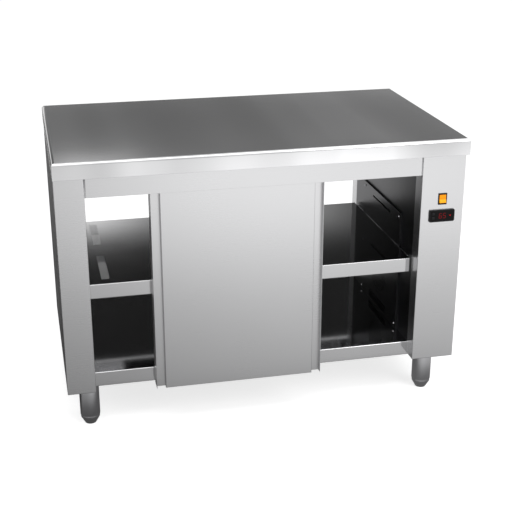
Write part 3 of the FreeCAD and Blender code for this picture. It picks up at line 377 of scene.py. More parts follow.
def lathe(name, outline, x, y, material):
    """A turned piece: an outline of radii and heights, spun about an upright axis."""
    mesh = bmesh.new()
    turns = [2 * math.pi * step / TURNED_SIDES for step in range(TURNED_SIDES)]
    rings = [
        [mesh.verts.new((x + radius * math.cos(turn), y + radius * math.sin(turn), height)) for turn in turns]
        for radius, height in outline
    ]
    for low, high in zip(rings, rings[1:]):
        for step in range(TURNED_SIDES):
            after = (step + 1) % TURNED_SIDES
            mesh.faces.new((low[step], low[after], high[after], high[step]))
    mesh.faces.new(list(reversed(rings[0])))
    mesh.faces.new(rings[-1])
    bmesh.ops.recalc_face_normals(mesh, faces=mesh.faces)
    piece = solid(name, mesh, material)
    piece.data.shade_smooth()
    piece.data.set_sharp_from_angle(angle=TURNED_SHARP)
    return piece


# Drawn tube, brushed along its length: one light and one dark side, with a soft edge between them.
tube_steel = brushed_steel("satin_stainless_tube", "#BDBDBF", "Z", 0.3)
for corner in ("front_left", "front_right", "rear_left", "rear_right"):
    low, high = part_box(f"{corner}_leg")
    x, y = (low.x + high.x) / 2, (low.y + high.y) / 2
    leg = lathe(f"{corner}_leg_tube", LEG, x, y, tube_steel)
    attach(leg, "root")
    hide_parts(f"{corner}_leg")
    foot = lathe(f"{corner}_foot_turned", FOOT, x, y, tube_steel)
    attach(foot, f"{corner}_foot")
    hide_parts(f"{corner}_foot")


# End panels and inner walls. Each end panel is one sheet, folded round both posts; the inner walls stand
# on the base shelf and close the heated space.
# Satin-ground: an even pale grey that blurs what it mirrors.
post_steel = brushed_steel("satin_stainless_upright", "#CBCBCC", "X", 0.28)
for node in ("left_side_panel", "right_side_panel"):
    finished(node, post_steel)
# Painted shade: the same satin steel given a dark grey that stands in for the shadow inside the cupboard, so
# that it falls away behind the doors.
painted_shade_steel = brushed_steel("painted_shade_stainless", "#404042", "Y", 0.3)
for node in ("left_inner_wall", "right_inner_wall"):
    finished(node, painted_shade_steel)


# Fan heater behind the right-hand wall. A box of galvanised sheet guides the air over a ring-shaped heating
# element, with a probe, a safety thermostat and the terminal block of its wiring beside it.
# Zinc-coated sheet: a flat light grey, duller than the stainless round it.
fan_steel = brushed_steel("galvanised_sheet", "#C8CACB", "Y", 0.38)
finished("air_box", fan_steel)
# Tube dulled by heat: a warm brown-grey.
element_steel = brushed_steel("heat_dulled_tube", "#6B6560", "Z", 0.5)
for node in ("heating_element", "temperature_probe"):
    finished(node, element_steel, fold=0.0004)


# The grit's spacing and depth, and by how much roughness varies over it.
GRIT, GRIT_DEPTH = 0.0008, 0.0001
PATCHY = 0.05


def plastic(name, colour, roughness, relief=0.15, shine=0.5):
    """Moulded plastic: one colour through, with the fine texture of the mould's spark-eroded face.

    The real grit is about 0.1 mm. It is drawn at 0.8 mm, so that it shows.
    """
    material, tree, place = shader(name)
    grains = add(
        tree, "ShaderNodeTexNoise", {"Vector": place, "Scale": 1 / GRIT, "Detail": 2.0}
    ).outputs["Fac"]
    rough = add(
        tree,
        "ShaderNodeMapRange",
        {"Value": grains, **NOISE_SPAN, "To Min": roughness - PATCHY, "To Max": roughness + PATCHY},
    ).outputs["Result"]
    bump = add(
        tree, "ShaderNodeBump", {"Height": grains, "Strength": relief, "Distance": GRIT_DEPTH}
    ).outputs["Normal"]
    surface = add(
        tree,
        "ShaderNodeBsdfPrincipled",
        {
            "Base Color": linear(colour),
            "Roughness": rough,
            "IOR": 1.49,
            "Specular IOR Level": shine,
            "Normal": bump,
        },
    )
    add(tree, "ShaderNodeOutputMaterial", {"Surface": surface.outputs["BSDF"]})
    return material


# Dark grey stoving paint: matt, with soft highlights on the casting's edges.
motor_paint = plastic("painted_die_casting", "#2C2D30", 0.45)
for node in ("fan_motor", "safety_thermostat"):
    finished(node, motor_paint, fold=0.001)
# Cream polyamide: the one pale, warm piece behind the wall.
terminal_plastic = plastic("cream_polyamide", "#D9D3BE", 0.5)
finished("terminal_block", terminal_plastic, fold=0.0008)


# Fan of the heater: pressed from galvanised sheet, a back plate and a front ring with a crown of curved
# blades riveted between them, on the motor's shaft.


def sized_tree(name, sizes):
    """A new Geometry Nodes tree with one named input for each size, whole numbers as counts."""
    tree = bpy.data.node_groups.new(name, "GeometryNodeTree")
    for size, value in sizes.items():
        kind = "NodeSocketInt" if isinstance(value, int) else "NodeSocketFloat"
        tree.interface.new_socket(size, in_out="INPUT", socket_type=kind)
    tree.interface.new_socket("Geometry", in_out="OUTPUT", socket_type="NodeSocketGeometry")
    return tree, add(tree, "NodeGroupInput").outputs


def grown(name, tree, sizes, node):
    """The plain mesh that a tree makes from its sizes, in place of a CAD node."""
    piece = linked(name, bpy.data.meshes.new(f"{name}_seed"))
    modifier = piece.modifiers.new("made", "NODES")
    modifier.node_group = tree
    for socket in tree.interface.items_tree:
        if socket.in_out == "INPUT":
            modifier[socket.identifier] = sizes[socket.name]
    made = applied(piece)
    piece.modifiers.clear()
    piece.data = made
    made.name = name
    made.shade_smooth()
    made.set_sharp_from_angle(angle=TURNED_SHARP)
    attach(piece, frame["nodes"][node]["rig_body"])
    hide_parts(node)


def raised(tree, shape, by):
    """A shape lifted along the axis by another node's output."""
    away = add(tree, "ShaderNodeCombineXYZ", {"Z": by}).outputs["Vector"]
    return add(tree, "GeometryNodeTransform", {"Geometry": shape, "Translation": away}).outputs["Geometry"]


def scaled(tree, value, by, plus=0.0):
    """A length times a number, plus another."""
    return add(
        tree, "ShaderNodeMath", {0: value, 1: by, 2: plus}, operation="MULTIPLY_ADD"
    ).outputs["Value"]


def disc(tree, radius, start, length):
    """A round bar or disc that stands along the axis from its start."""
    bar = add(
        tree, "GeometryNodeMeshCylinder", {"Vertices": 64, "Radius": radius, "Depth": length}
    ).outputs["Mesh"]
    return raised(tree, bar, scaled(tree, length, 0.5, start))


low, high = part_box("fan_impeller")
FAN = {
    "Radius": (high.z - low.z) / 2,
    "Width": 0.034,
    "Plate": 0.0015,
    "Blades": 24,
    "Blade inner radius": 0.048,
    "Blade bow": 0.006,
    "Blade sheet": 0.0012,
    "Ring width": 0.004,
    "Hub radius": 0.014,
    "Hub length": 0.017,
    "Shaft radius": 0.004,
    "Shaft length": 0.038,
    "Front": low.x,
    "Axis height": (high.z + low.z) / 2,
}
# How much of the front ring's width a blade's outer edge leaves free.
BLADE_FREE_SHARE = 0.4
tree, size = sized_tree("blower_wheel", FAN)
plate_at = scaled(tree, size["Plate"], -1.0, size["Width"])
plate = disc(tree, size["Radius"], plate_at, size["Plate"])
hub_at = scaled(tree, size["Hub length"], -1.0, size["Width"])
hub = disc(tree, size["Hub radius"], hub_at, size["Hub length"])
shaft = disc(tree, size["Shaft radius"], size["Width"], size["Shaft length"])
ring_middle = scaled(tree, size["Ring width"], -0.5, size["Radius"])
ring_line = add(
    tree, "GeometryNodeCurvePrimitiveCircle", {"Resolution": 96, "Radius": ring_middle}
).outputs["Curve"]
ring_section = add(
    tree, "GeometryNodeCurvePrimitiveQuadrilateral", {"Width": size["Plate"], "Height": size["Ring width"]}
).outputs["Curve"]
ring = add(
    tree, "GeometryNodeCurveToMesh", {"Curve": ring_line, "Profile Curve": ring_section}
).outputs["Mesh"]
ring = raised(tree, ring, scaled(tree, size["Plate"], 0.5))
blade_end = scaled(tree, size["Ring width"], -BLADE_FREE_SHARE, size["Radius"])
middle_radius = scaled(tree, scaled(tree, size["Blade inner radius"], 1.0, blade_end), 0.5)
root = add(tree, "ShaderNodeCombineXYZ", {"X": size["Blade inner radius"]}).outputs["Vector"]
belly = add(tree, "ShaderNodeCombineXYZ", {"X": middle_radius, "Y": size["Blade bow"]}).outputs["Vector"]
edge = add(tree, "ShaderNodeCombineXYZ", {"X": blade_end}).outputs["Vector"]
blade_line = add(
    tree,
    "GeometryNodeCurveQuadraticBezier",
    {"Resolution": 8, "Start": root, "Middle": belly, "End": edge},
).outputs["Curve"]
blade_line = add(tree, "GeometryNodeSetCurveNormal", {"Curve": blade_line}, mode="Z_UP").outputs["Curve"]
blade_section = add(
    tree, "GeometryNodeCurvePrimitiveQuadrilateral", {"Width": size["Blade sheet"], "Height": plate_at}
).outputs["Curve"]
blade = add(
    tree,
    "GeometryNodeCurveToMesh",
    {"Curve": blade_line, "Profile Curve": blade_section, "Fill Caps": True},
).outputs["Mesh"]
blade = raised(tree, blade, scaled(tree, plate_at, 0.5))
places = add(tree, "GeometryNodePoints", {"Count": size["Blades"]}).outputs["Geometry"]
number = add(tree, "GeometryNodeInputIndex").outputs["Index"]
share = add(tree, "ShaderNodeMath", {0: number, 1: size["Blades"]}, operation="DIVIDE").outputs["Value"]
turn = add(tree, "ShaderNodeCombineXYZ", {"Z": scaled(tree, share, 2 * math.pi)}).outputs["Vector"]
crown = add(
    tree, "GeometryNodeInstanceOnPoints", {"Points": places, "Instance": blade, "Rotation": turn}
).outputs["Instances"]
wheel = add(
    tree, "GeometryNodeJoinGeometry", {"Geometry": (plate, hub, shaft, ring, crown)}
).outputs["Geometry"]
upright = (math.radians(90), 0.0, math.radians(90))
spot = add(tree, "ShaderNodeCombineXYZ", {"X": size["Front"], "Z": size["Axis height"]}).outputs["Vector"]
wheel = add(
    tree, "GeometryNodeTransform", {"Geometry": wheel, "Translation": spot, "Rotation": upright}
).outputs["Geometry"]
wheel = add(tree, "GeometryNodeRealizeInstances", {"Geometry": wheel}).outputs["Geometry"]
wheel = add(tree, "GeometryNodeSetMaterial", {"Geometry": wheel, "Material": fan_steel}).outputs["Geometry"]
add(tree, "NodeGroupOutput", {"Geometry": wheel})
grown("blower_wheel", tree, FAN, "fan_impeller")


# Cover of the air duct, a thin dished sheet on the right-hand wall, held by four pan-head screws with a
# cross recess.
# In the inner walls' dark grey, which is painted shade.
finished("heater_cover", painted_shade_steel, fold=0.0015, edge=0.0)
# Cold-headed stainless: the brightest small spots on the cover.
screw_steel = brushed_steel("stainless_screw", "#BEBEC0", "Z", 0.25)
low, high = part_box("cover_screws")
HEAD_RADIUS, HEAD_HEIGHT = 0.0038, 0.0022
SCREWS = {
    "Along": high.y - low.y - 2 * HEAD_RADIUS,
    "Up": high.z - low.z - 2 * HEAD_RADIUS,
    "Head radius": HEAD_RADIUS,
    "Head top radius": 0.0027,
    "Head height": HEAD_HEIGHT,
    "Recess length": 0.0034,
    "Recess width": 0.0008,
    "Recess depth": 0.0012,
    "Shank radius": 0.002,
    "Shank length": high.x - low.x - HEAD_HEIGHT,
    "Face": low.x + HEAD_HEIGHT,
    "Middle height": (low.z + high.z) / 2,
}
tree, size = sized_tree("pan_head_screws", SCREWS)
head = add(
    tree,
    "GeometryNodeMeshCone",
    {
        "Vertices": 40,
        "Radius Top": size["Head top radius"],
        "Radius Bottom": size["Head radius"],
        "Depth": size["Head height"],
    },
).outputs["Mesh"]
deep = scaled(tree, size["Recess depth"], 2.0)
cuts = []
for x, y in (("Recess length", "Recess width"), ("Recess width", "Recess length")):
    block = add(tree, "ShaderNodeCombineXYZ", {"X": size[x], "Y": size[y], "Z": deep}).outputs["Vector"]
    block = add(tree, "GeometryNodeMeshCube", {"Size": block}).outputs["Mesh"]
    cuts.append(raised(tree, block, size["Head height"]))
head = add(
    tree, "GeometryNodeMeshBoolean", {"Mesh 1": head, "Mesh 2": tuple(cuts)}, operation="DIFFERENCE"
).outputs["Mesh"]
shank = disc(tree, size["Shank radius"], scaled(tree, size["Shank length"], -1.0), size["Shank length"])
screw = add(tree, "GeometryNodeJoinGeometry", {"Geometry": (head, shank)}).outputs["Geometry"]
places = add(
    tree,
    "GeometryNodeMeshGrid",
    {"Size X": size["Along"], "Size Y": size["Up"], "Vertices X": 2, "Vertices Y": 2},
).outputs["Mesh"]
screws = add(
    tree, "GeometryNodeInstanceOnPoints", {"Points": places, "Instance": screw}
).outputs["Instances"]
inward = (math.radians(90), 0.0, math.radians(-90))
spot = add(tree, "ShaderNodeCombineXYZ", {"X": size["Face"], "Z": size["Middle height"]}).outputs["Vector"]
screws = add(
    tree, "GeometryNodeTransform", {"Geometry": screws, "Translation": spot, "Rotation": inward}
).outputs["Geometry"]
screws = add(tree, "GeometryNodeRealizeInstances", {"Geometry": screws}).outputs["Geometry"]
screws = add(
    tree, "GeometryNodeSetMaterial", {"Geometry": screws, "Material": screw_steel}
).outputs["Geometry"]
add(tree, "NodeGroupOutput", {"Geometry": screws})
grown("pan_head_screws", tree, SCREWS, "cover_screws")


# Middle shelf, an inverted tray of the same steel as the base shelf, with two patches of holes that let the
# warm air through. It lies on zinc-plated supports on the inner walls.
finished("shelf_supports", structural_steel)
finished("mid_shelf", shelf_steel, edge=0.0)


# Rails over the doors, their seams to the posts sealed with grey silicone whose grey is also painted shade
# for the gap, with the aluminium tracks behind them and a rubber stop at each end of each run.
# Satin-ground along the rail: one even pale band under the worktop.
rail_steel = brushed_steel("satin_stainless_rail", "#C9C9CA", "X", 0.28)
for node in ("front_rail", "rear_rail"):
    finished(node, rail_steel)
# The sealant's width, thickness and height, the height of its middle, how far it lies behind the rail's
# face, and the room that is left beside it.
SEAM_WIDE, SEAM_THICK, SEAM_TALL = 0.004, 0.0005, 0.061
SEAM_MIDDLE = 0.7715
SEAM_SUNK = 0.0009
SEAM_ROOM = 0.0002
left_post, right_post = (corner.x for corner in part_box("front_track"))
seam_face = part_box("front_rail")[0].y + SEAM_SUNK
seams = bmesh.new()
for x in (left_post + SEAM_WIDE / 2, right_post - SEAM_WIDE / 2):
    for y in (seam_face, -seam_face):
        strip = bmesh.ops.create_cube(seams, size=1.0)["verts"]
        bmesh.ops.scale(seams, vec=(SEAM_WIDE - SEAM_ROOM, SEAM_THICK, SEAM_TALL), verts=strip)
        bmesh.ops.translate(seams, vec=(x, y, SEAM_MIDDLE), verts=strip)
# Grey silicone: matt, a little lighter than the steel's own joints would be. Its grey paints the shade in the
# gap.
sealant_and_shade = solid("seam_sealant_and_shade", seams, plastic("grey_silicone_and_shade", "#B4B4B6", 0.6))
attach(sealant_and_shade, "root")
# Extruded and not anodised: silvery and soft, lighter than the steel.
track_aluminium = brushed_steel("mill_finish_aluminium", "#D6D8DA", "X", 0.35)
for node in ("front_track", "rear_track"):
    finished(node, track_aluminium, fold=0.0008)
# Moulded rubber: a flat black without highlights.
stop_rubber = plastic("black_rubber", "#17171A", 0.8)
finished("track_stops", stop_rubber, fold=0.001)


# Sliding doors. Each has a folded skin with a grip channel down both sides, a flat back, and two hangers
# with their wheels in the track.
# Satin-ground across the door: the same even pale grey as the posts.
door_steel = brushed_steel("satin_stainless_door", "#C9C9CA", "X", 0.28)
# White nylon: a soft, slightly yellow white.
wheel_nylon = plastic("white_nylon", "#DEDCD2", 0.45)
for side in ("front", "rear"):
    for run in ("outer", "inner"):
        door = f"{side}_{run}_door"
        finished(f"{door}_skin", door_steel)
        finished(f"{door}_back", door_steel)
        finished(f"{door}_hangers", structural_steel)
        for end in ("left", "right"):
            finished(f"{door}_{end}_wheels", wheel_nylon, fold=0.0006)
finished("door_guides", structural_steel)


# Worktop, a folded tray of 1.5 mm sheet with rounded front and back edges, which closes the cabinet. Omega
# channels of zinc-plated steel stiffen it and the middle shelf from underneath.
# Polished along its length after grinding: it mirrors what is behind, with broad faint bands across it that
# are painted reflections.
worktop_steel = brushed_steel(
    "satin_stainless_worktop", "#C8C8C9", "X", 0.11, relief=0.004, uneven=0.015, painted_bands=0.2
)
finished("worktop", worktop_steel, fold=0.0004)
finished("omega_stiffeners", structural_steel)


# Gland of the supply cable, at the back of the right-hand post. It is moulded in black polyamide, and its
# nut clamps the panel from inside.
# Black polyamide: nearly matt, so that only its roundings catch the light.
black_plastic = plastic("black_polyamide", "#101012", 0.42, shine=0.2)
finished("cable_gland", black_plastic, fold=0.0006)


# Lit rocker switch, snapped into the right-hand post: a black housing, and an amber rocker of clear-coloured
# polycarbonate with a small lamp behind it, which pivots in the housing.
finished("switch_housing", black_plastic, fold=0.0009)
# The heights between which the lamp's glow goes from yellow to orange and back. Its yellow is a painted
# highlight, where the rocker's two tilted faces catch light from above.
GLOW_FOOT, GLOW_TOP = 0.652, 0.678
# Lit from inside by its lamp: saturated amber with a brighter middle, and hardly any reflection of the room.
# Its bands of yellow are painted highlights.
amber, tree, place = shader("lit_amber_painted_glints")
height = add(tree, "ShaderNodeSeparateXYZ", {"Vector": place}).outputs["Z"]
up = add(
    tree, "ShaderNodeMapRange", {"Value": height, "From Min": GLOW_FOOT, "From Max": GLOW_TOP}
).outputs["Result"]
# Painted highlight in the lamp's glow: yellow low down and orange between, by height.
glow_and_glints = add(tree, "ShaderNodeValToRGB", {"Fac": up})
marks = glow_and_glints.color_ramp.elements
marks[0].color = linear("#FFB400")
marks[1].color = linear("#F59A10")
for stop, colour in ((0.42, "#FFC000"), (0.5, "#FF8A00"), (0.75, "#FFA414")):
    marks.new(stop).color = linear(colour)
surface = add(
    tree,
    "ShaderNodeBsdfPrincipled",
    {
        "Base Color": linear("#B86400"),
        "Roughness": 0.3,
        "IOR": 1.58,
        "Specular IOR Level": 0.15,
        "Emission Color": glow_and_glints.outputs["Color"],
        "Emission Strength": 0.75,
    },
)
add(tree, "ShaderNodeOutputMaterial", {"Surface": surface.outputs["BSDF"]})
finished("switch_rocker", amber, fold=0.0008)


# Temperature controller, snapped into the right-hand post below the switch. A black housing holds a dark
# tinted window with red figures and a lamp behind it, and two keys at its left end.
finished("controller_housing", black_plastic, fold=0.001)
# Tinted polycarbonate: almost black, and dull enough to hide what it mirrors.
window_dark = plastic("dark_window", "#0A0708", 0.3, relief=0.0, shine=0.12)
low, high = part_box("controller_window")
keys = [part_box(f"controller_{way}_key") for way in ("down", "up")]
KEY_ROOM = 0.00025
across = [low.x, keys[0][0].x - KEY_ROOM, keys[0][1].x + KEY_ROOM, high.x]
upwards = [low.z]
for key_low, key_high in keys:
    upwards += [key_low.z - KEY_ROOM, key_high.z + KEY_ROOM]
upwards.append(high.z)
sheet = bmesh.new()
spots = [[sheet.verts.new((x, high.y, z)) for x in across] for z in upwards]
# The squares of the window that the keys come through.
KEY_COLUMN, KEY_ROWS = 1, (1, 3)
for row, (lower, upper) in enumerate(zip(spots, spots[1:])):
    for column in range(len(across) - 1):
        if column != KEY_COLUMN or row not in KEY_ROWS:
            sheet.faces.new((lower[column], lower[column + 1], upper[column + 1], upper[column]))
thick = bmesh.ops.extrude_face_region(sheet, geom=sheet.faces[:])["geom"]
outer = [item for item in thick if isinstance(item, bmesh.types.BMVert)]
bmesh.ops.translate(sheet, vec=(0, low.y - high.y, 0), verts=outer)
bmesh.ops.recalc_face_normals(sheet, faces=sheet.faces)
piece = solid("tinted_window", sheet, window_dark)
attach(piece, "root")
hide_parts("controller_window")
# Dark grey keys: a shade lighter and duller than the housing, so they only just show.
key_plastic = plastic("grey_key", "#131416", 0.55, shine=0.25)
for node in ("controller_up_key", "controller_down_key"):
    finished(node, key_plastic, fold=0.0008)


# The display's figures: their size, the width and depth of a segment, its lean, and the share of its width
# that is left free at each end.
FIGURE_WIDE, FIGURE_TALL = 0.0078, 0.0145
STROKE, STROKE_DEPTH = 0.0017, 0.0002
SLANT = 0.09
FREE_END_SHARE = 0.12
# The segments that each figure lights, and where each stands to the right of the window's middle.
FIGURES = {"6": "acdefg", "5": "acdfg"}
FIGURE_PLACES = {"6": -0.0046, "5": 0.008}
# The lamp's radius and place, and how far figures and lamp stand in front of the window.
LAMP_RADIUS, LAMP_PLACE = 0.0016, 0.026
PROUD = 0.00015


def figure(mesh, digit, x, y, z):
    """One figure of a seven-segment display, centred at x and z, its face at y. None lights segment b."""
    wide, tall = FIGURE_WIDE / 2, FIGURE_TALL / 2
    ends = {
        "a": ((-wide, tall), (wide, tall)),
        "c": ((wide, 0), (wide, -tall)),
        "d": ((-wide, -tall), (wide, -tall)),
        "e": ((-wide, 0), (-wide, -tall)),
        "f": ((-wide, tall), (-wide, 0)),
        "g": ((-wide, 0), (wide, 0)),
    }
    for segment in FIGURES[digit]:
        (x0, z0), (x1, z1) = ends[segment]
        along = Vector((x1 - x0, z1 - z0)).normalized()
        across = Vector((-along.y, along.x)) * STROKE / 2
        start = Vector((x0, z0)) + along * STROKE * FREE_END_SHARE
        end = Vector((x1, z1)) - along * STROKE * FREE_END_SHARE
        tip = along * STROKE / 2
        upper = [start + tip + across, end - tip + across]
        lower = [end - tip - across, start + tip - across]
        corners = [start, *upper, end, *lower]
        front, back = (
            [mesh.verts.new((x + c.x + c.y * SLANT, y + depth, z + c.y)) for c in corners]
            for depth in (0.0, STROKE_DEPTH)
        )
        mesh.faces.new(front)
        mesh.faces.new(list(reversed(back)))
        for step in range(len(corners)):
            after = (step + 1) % len(corners)
            mesh.faces.new((front[after], front[step], back[step], back[after]))


SPECKLES_A_METRE = 900.0
SPECKLE_SHARE = 0.1


def lit(name, colour, strength):
    """A light-emitting diode's own colour, seen through the tinted window.

    Its speckle of about 1 mm keeps the light from looking painted on. It is coarser than the real one.
    """
    material, tree, place = shader(name)
    grains = add(tree, "ShaderNodeTexNoise", {"Vector": place, "Scale": SPECKLES_A_METRE}).outputs["Fac"]
    level = add(
        tree,
        "ShaderNodeMapRange",
        {
            "Value": grains,
            "To Min": strength * (1 - SPECKLE_SHARE),
            "To Max": strength * (1 + SPECKLE_SHARE),
        },
    ).outputs["Result"]
    surface = add(
        tree,
        "ShaderNodeBsdfPrincipled",
        {
            "Base Color": linear("#190000"),
            "Roughness": 0.3,
            "Specular IOR Level": 0.12,
            "Emission Color": linear(colour),
            "Emission Strength": level,
        },
    )
    add(tree, "ShaderNodeOutputMaterial", {"Surface": surface.outputs["BSDF"]})
    return material


low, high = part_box("controller_window")
display_x, display_z, display_y = (low.x + high.x) / 2, (low.z + high.z) / 2, low.y - PROUD
figures = bmesh.new()
for digit, offset in FIGURE_PLACES.items():
    figure(figures, digit, display_x + offset, display_y, display_z)
lamp = bmesh.new()
bmesh.ops.create_circle(lamp, cap_ends=True, radius=LAMP_RADIUS, segments=24)
bmesh.ops.rotate(lamp, matrix=Matrix.Rotation(math.radians(90), 3, "X"), verts=lamp.verts)
bmesh.ops.translate(lamp, vec=(display_x + LAMP_PLACE, display_y, display_z), verts=lamp.verts)
# The figures are a dim, deep red, and the lamp is the one bright red point.
for name, mesh, material in (
    ("display_figures", figures, lit("dim_red_segments", "#A01218", 0.55)),
    ("display_lamp", lamp, lit("bright_red_lamp", "#FF1414", 1.0)),
):
    bmesh.ops.recalc_face_normals(mesh, faces=mesh.faces)
    piece = solid(name, mesh, material)
    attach(piece, "root")


# Studio: a pale floor and a soft, even light. Polished metal looks like what is round it, so its rays see a
# floor and surroundings with levels of grey of their own, those of the floor painted shadow and light. The
# camera sees them plain and white.
CAMERA_PLACE = (-0.6647, -3.1325, 1.6502)
CAMERA_TURN = (68.73, 0.0, -12.66)
LENS = 74.75
FAR_AWAY = 100
bpy.context.scene.view_settings.view_transform = "Standard"
camera = linked("camera", bpy.data.cameras.new("camera"))
camera.location = CAMERA_PLACE
camera.rotation_euler = [math.radians(angle) for angle in CAMERA_TURN]
camera.data.lens = LENS
camera.data.clip_end = FAR_AWAY
bpy.context.scene.camera = camera


def graded(tree, place, levels):
    """Grey levels along a way, each with its own place on it. Beyond the first and last they stay."""
    first, last = levels[0], levels[-1]
    share = add(
        tree, "ShaderNodeMapRange", {"Value": place, "From Min": first[0], "From Max": last[0]}
    ).outputs["Result"]
    ramp = add(tree, "ShaderNodeValToRGB", {"Fac": share})
    marks = ramp.color_ramp.elements
    marks[0].color = (first[1], first[1], first[1], 1)
    marks[1].color = (last[1], last[1], last[1], 1)
    for spot, level in levels[1:-1]:
        marks.new((spot - first[0]) / (last[0] - first[0])).color = (level, level, level, 1)
    return ramp.outputs["Color"]


def rays(tree):
    """Whether a ray comes from polished metal, and whether it comes from the camera or through glass."""
    path = add(tree, "ShaderNodeLightPath").outputs
    straight = add(
        tree,
        "ShaderNodeMath",
        {0: path["Is Camera Ray"], 1: path["Is Transmission Ray"]},
        operation="MAXIMUM",
    ).outputs["Value"]
    return path["Is Glossy Ray"], straight


FLOOR_COLOUR = "#D8D8D8"
FLOOR_LIFT = 0.72
FLOOR_SIZE = 30
CABINET_HALF = (cad_box[1].x, cad_box[1].y, 0.0)
# What metal shows of the floor, painted light and shade: by its distance from the cabinet, darkest next to it
# as its shadow, and by its place from left to right, darker on the left as if lit from the right.
FLOOR_SHADE_IN_METAL = (
    (0.0, 0.2), (0.1, 0.28), (0.2, 0.6), (0.38, 0.69), (1.0, 0.9), (1.75, 1.38), (2.1, 1.65), (3.0, 1.62),
    (6.0, 1.15),
)
SIDE_SHADE_IN_METAL = (
    (-1.0, 0.52), (-0.7, 0.56), (0.0, 0.88), (0.4, 1.0), (0.9, 0.97), (1.3, 0.91), (2.0, 0.82)
)
# Matt and pale, a little self-lit so that it stays near white under the cabinet's soft shadow.
pale, tree, place = shader("pale_studio_floor")
apart = add(tree, "ShaderNodeVectorMath", {0: place}, operation="ABSOLUTE").outputs["Vector"]
for operation, other in (("SUBTRACT", CABINET_HALF), ("MAXIMUM", (0.0, 0.0, 0.0))):
    apart = add(tree, "ShaderNodeVectorMath", {0: apart, 1: other}, operation=operation).outputs["Vector"]
apart = add(tree, "ShaderNodeVectorMath", {0: apart}, operation="LENGTH").outputs["Value"]
sideways = add(tree, "ShaderNodeSeparateXYZ", {"Vector": place}).outputs["X"]
glossy, straight = rays(tree)
lift = add(tree, "ShaderNodeMath", {0: straight, 1: FLOOR_LIFT}, operation="MULTIPLY").outputs["Value"]
matt = add(
    tree,
    "ShaderNodeBsdfPrincipled",
    {
        "Base Color": linear(FLOOR_COLOUR),
        "Roughness": 1.0,
        "Specular IOR Level": 0.0,
        "Emission Color": linear("#FFFFFF"),
        "Emission Strength": lift,
    },
)
# Painted shadow and light: for metal's rays the floor is an emission graded by distance from the cabinet and
# from left to right.
painted_floor_shade = add(
    tree,
    "ShaderNodeEmission",
    {"Color": graded(tree, apart, FLOOR_SHADE_IN_METAL), "Strength": graded(tree, sideways, SIDE_SHADE_IN_METAL)},
)
shown = add(
    tree, "ShaderNodeMixShader", {0: glossy, 1: matt.outputs["BSDF"], 2: painted_floor_shade.outputs["Emission"]}
)
add(tree, "ShaderNodeOutputMaterial", {"Surface": shown.outputs["Shader"]})
floor_mesh = bmesh.new()
bmesh.ops.create_grid(floor_mesh, x_segments=1, y_segments=1, size=FLOOR_SIZE)
solid("floor", floor_mesh, pale)

AMBIENT = 0.42
# How far toward the front or the back a ray goes when it sees the surroundings of that side alone.
TURN = 0.25
# Behind and in front of the cabinet, the surroundings by the sine of the height that a ray rises to, and
# behind also from left to right.
REAR_IN_METAL = (
    (0.0, 1.2), (0.06, 1.2), (0.12, 0.43), (0.2, 0.24), (0.25, 0.25), (0.3, 0.3), (0.31, 0.02), (0.53, 0.02),
    (0.62, 1.9), (0.75, 1.9), (0.84, 1.4), (1.0, 1.3),
)
REAR_ACROSS = (
    (-0.2, 0.81), (0.03, 0.83), (0.09, 0.75), (0.15, 0.82), (0.25, 0.86), (0.33, 1.0), (0.4, 1.0)
)
FRONT_IN_METAL = ((0.0, 1.0), (0.35, 1.0), (0.44, 1.7), (0.75, 1.6), (0.84, 1.2), (1.0, 1.2))
# A soft light low behind the cabinet, which the middle shelf shows: by height, and from left to right.
GLOW_HEIGHT = (
    (0.0, 0.0), (0.3, 0.0), (0.316, 1.3), (0.328, 1.1), (0.343, 0.2), (0.352, 0.0), (1.0, 0.0)
)
GLOW_ACROSS = (
    (-0.2, 0.0), (-0.03, 0.0), (0.03, 1.0), (0.06, 1.0), (0.11, 0.4), (0.2, 0.25), (0.27, 0.25), (0.31, 0.04),
    (0.4, 0.0),
)
world = bpy.data.worlds.new("studio")
bpy.context.scene.world = world
world.use_nodes = True
tree = world.node_tree
tree.nodes.clear()
direction = add(tree, "ShaderNodeTexCoord").outputs["Generated"]
towards = add(tree, "ShaderNodeSeparateXYZ", {"Vector": direction}).outputs
frontward = add(
    tree, "ShaderNodeMapRange", {"Value": towards["Y"], "From Min": TURN, "From Max": -TURN}
).outputs["Result"]
behind = add(
    tree,
    "ShaderNodeVectorMath",
    {0: graded(tree, towards["Z"], REAR_IN_METAL), 1: graded(tree, towards["X"], REAR_ACROSS)},
    operation="MULTIPLY",
).outputs["Vector"]
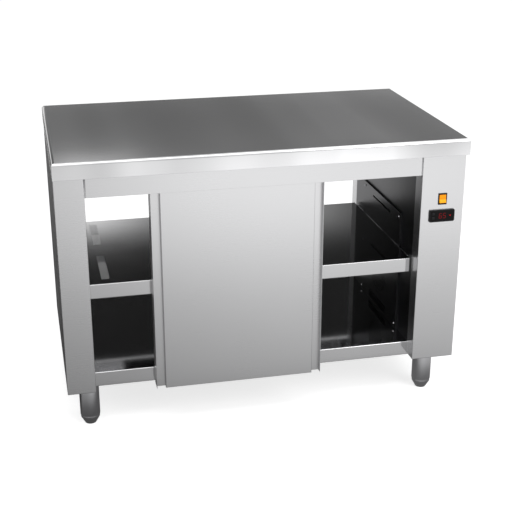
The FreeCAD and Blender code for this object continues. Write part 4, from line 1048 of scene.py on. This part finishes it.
behind = add(
    tree,
    "ShaderNodeVectorMath",
    {
        0: graded(tree, towards["Z"], GLOW_HEIGHT),
        1: graded(tree, towards["X"], GLOW_ACROSS),
        2: behind,
    },
    operation="MULTIPLY_ADD",
).outputs["Vector"]
# Sockets 6, 7 and 2 are this node's two colours and their mix.
round_about = add(
    tree,
    "ShaderNodeMix",
    {"Factor": frontward, 6: behind, 7: graded(tree, towards["Z"], FRONT_IN_METAL)},
    data_type="RGBA",
).outputs[2]
white = linear("#FFFFFF")
plain, cove, backdrop = (
    add(tree, "ShaderNodeBackground", {"Color": colour, "Strength": strength}).outputs["Background"]
    for colour, strength in ((white, AMBIENT), (round_about, 1.0), (white, 1.0))
)
glossy, straight = rays(tree)
seen = add(tree, "ShaderNodeMixShader", {0: glossy, 1: plain, 2: cove}).outputs["Shader"]
mixed = add(tree, "ShaderNodeMixShader", {0: straight, 1: seen, 2: backdrop}).outputs["Shader"]
add(tree, "ShaderNodeOutputWorld", {"Surface": mixed})


def soft_box(name, place, aim, size, power):
    """A studio light with a large flat face, aimed at a point."""
    lamp = bpy.data.lights.new(name, "AREA")
    lamp.shape = "RECTANGLE"
    lamp.size, lamp.size_y = size
    lamp.energy = power
    box = linked(name, lamp)
    box.location = place
    box.rotation_euler = (Vector(aim) - Vector(place)).to_track_quat("-Z", "Y").to_euler()
    box.visible_camera = False


soft_box("key_light", place=(2.4, -3.4, 3.0), aim=(0.2, 0, 0.4), size=(2.2, 2.2), power=70)
soft_box("overhead_light", place=(0, -1.3, 3.2), aim=(0, -0.3, 0.8), size=(5.0, 1.4), power=55)

# A black card on the floor at the left, which only metal sees: painted shade in place of the cabinet's shadow
# there. It darkens the left side panel.
SHADE_CARD = ((-0.62, -0.2), (-0.62, 0.3), (-0.75, 5.0), (-2.6, 5.0), (-2.0, -0.2))
SHADE_CARD_HEIGHT = 0.002
shade_card_mesh = bmesh.new()
shade_card_mesh.faces.new([shade_card_mesh.verts.new((*corner, SHADE_CARD_HEIGHT)) for corner in SHADE_CARD])
# Black felt: it gives back next to nothing, so it shows as shade in the left side panel.
shade_card = solid("black_shade_card", shade_card_mesh, plastic("black_shade_felt", "#101010", 0.9))
shade_card.visible_camera = False
shade_card.visible_diffuse = False
shade_card.visible_shadow = False
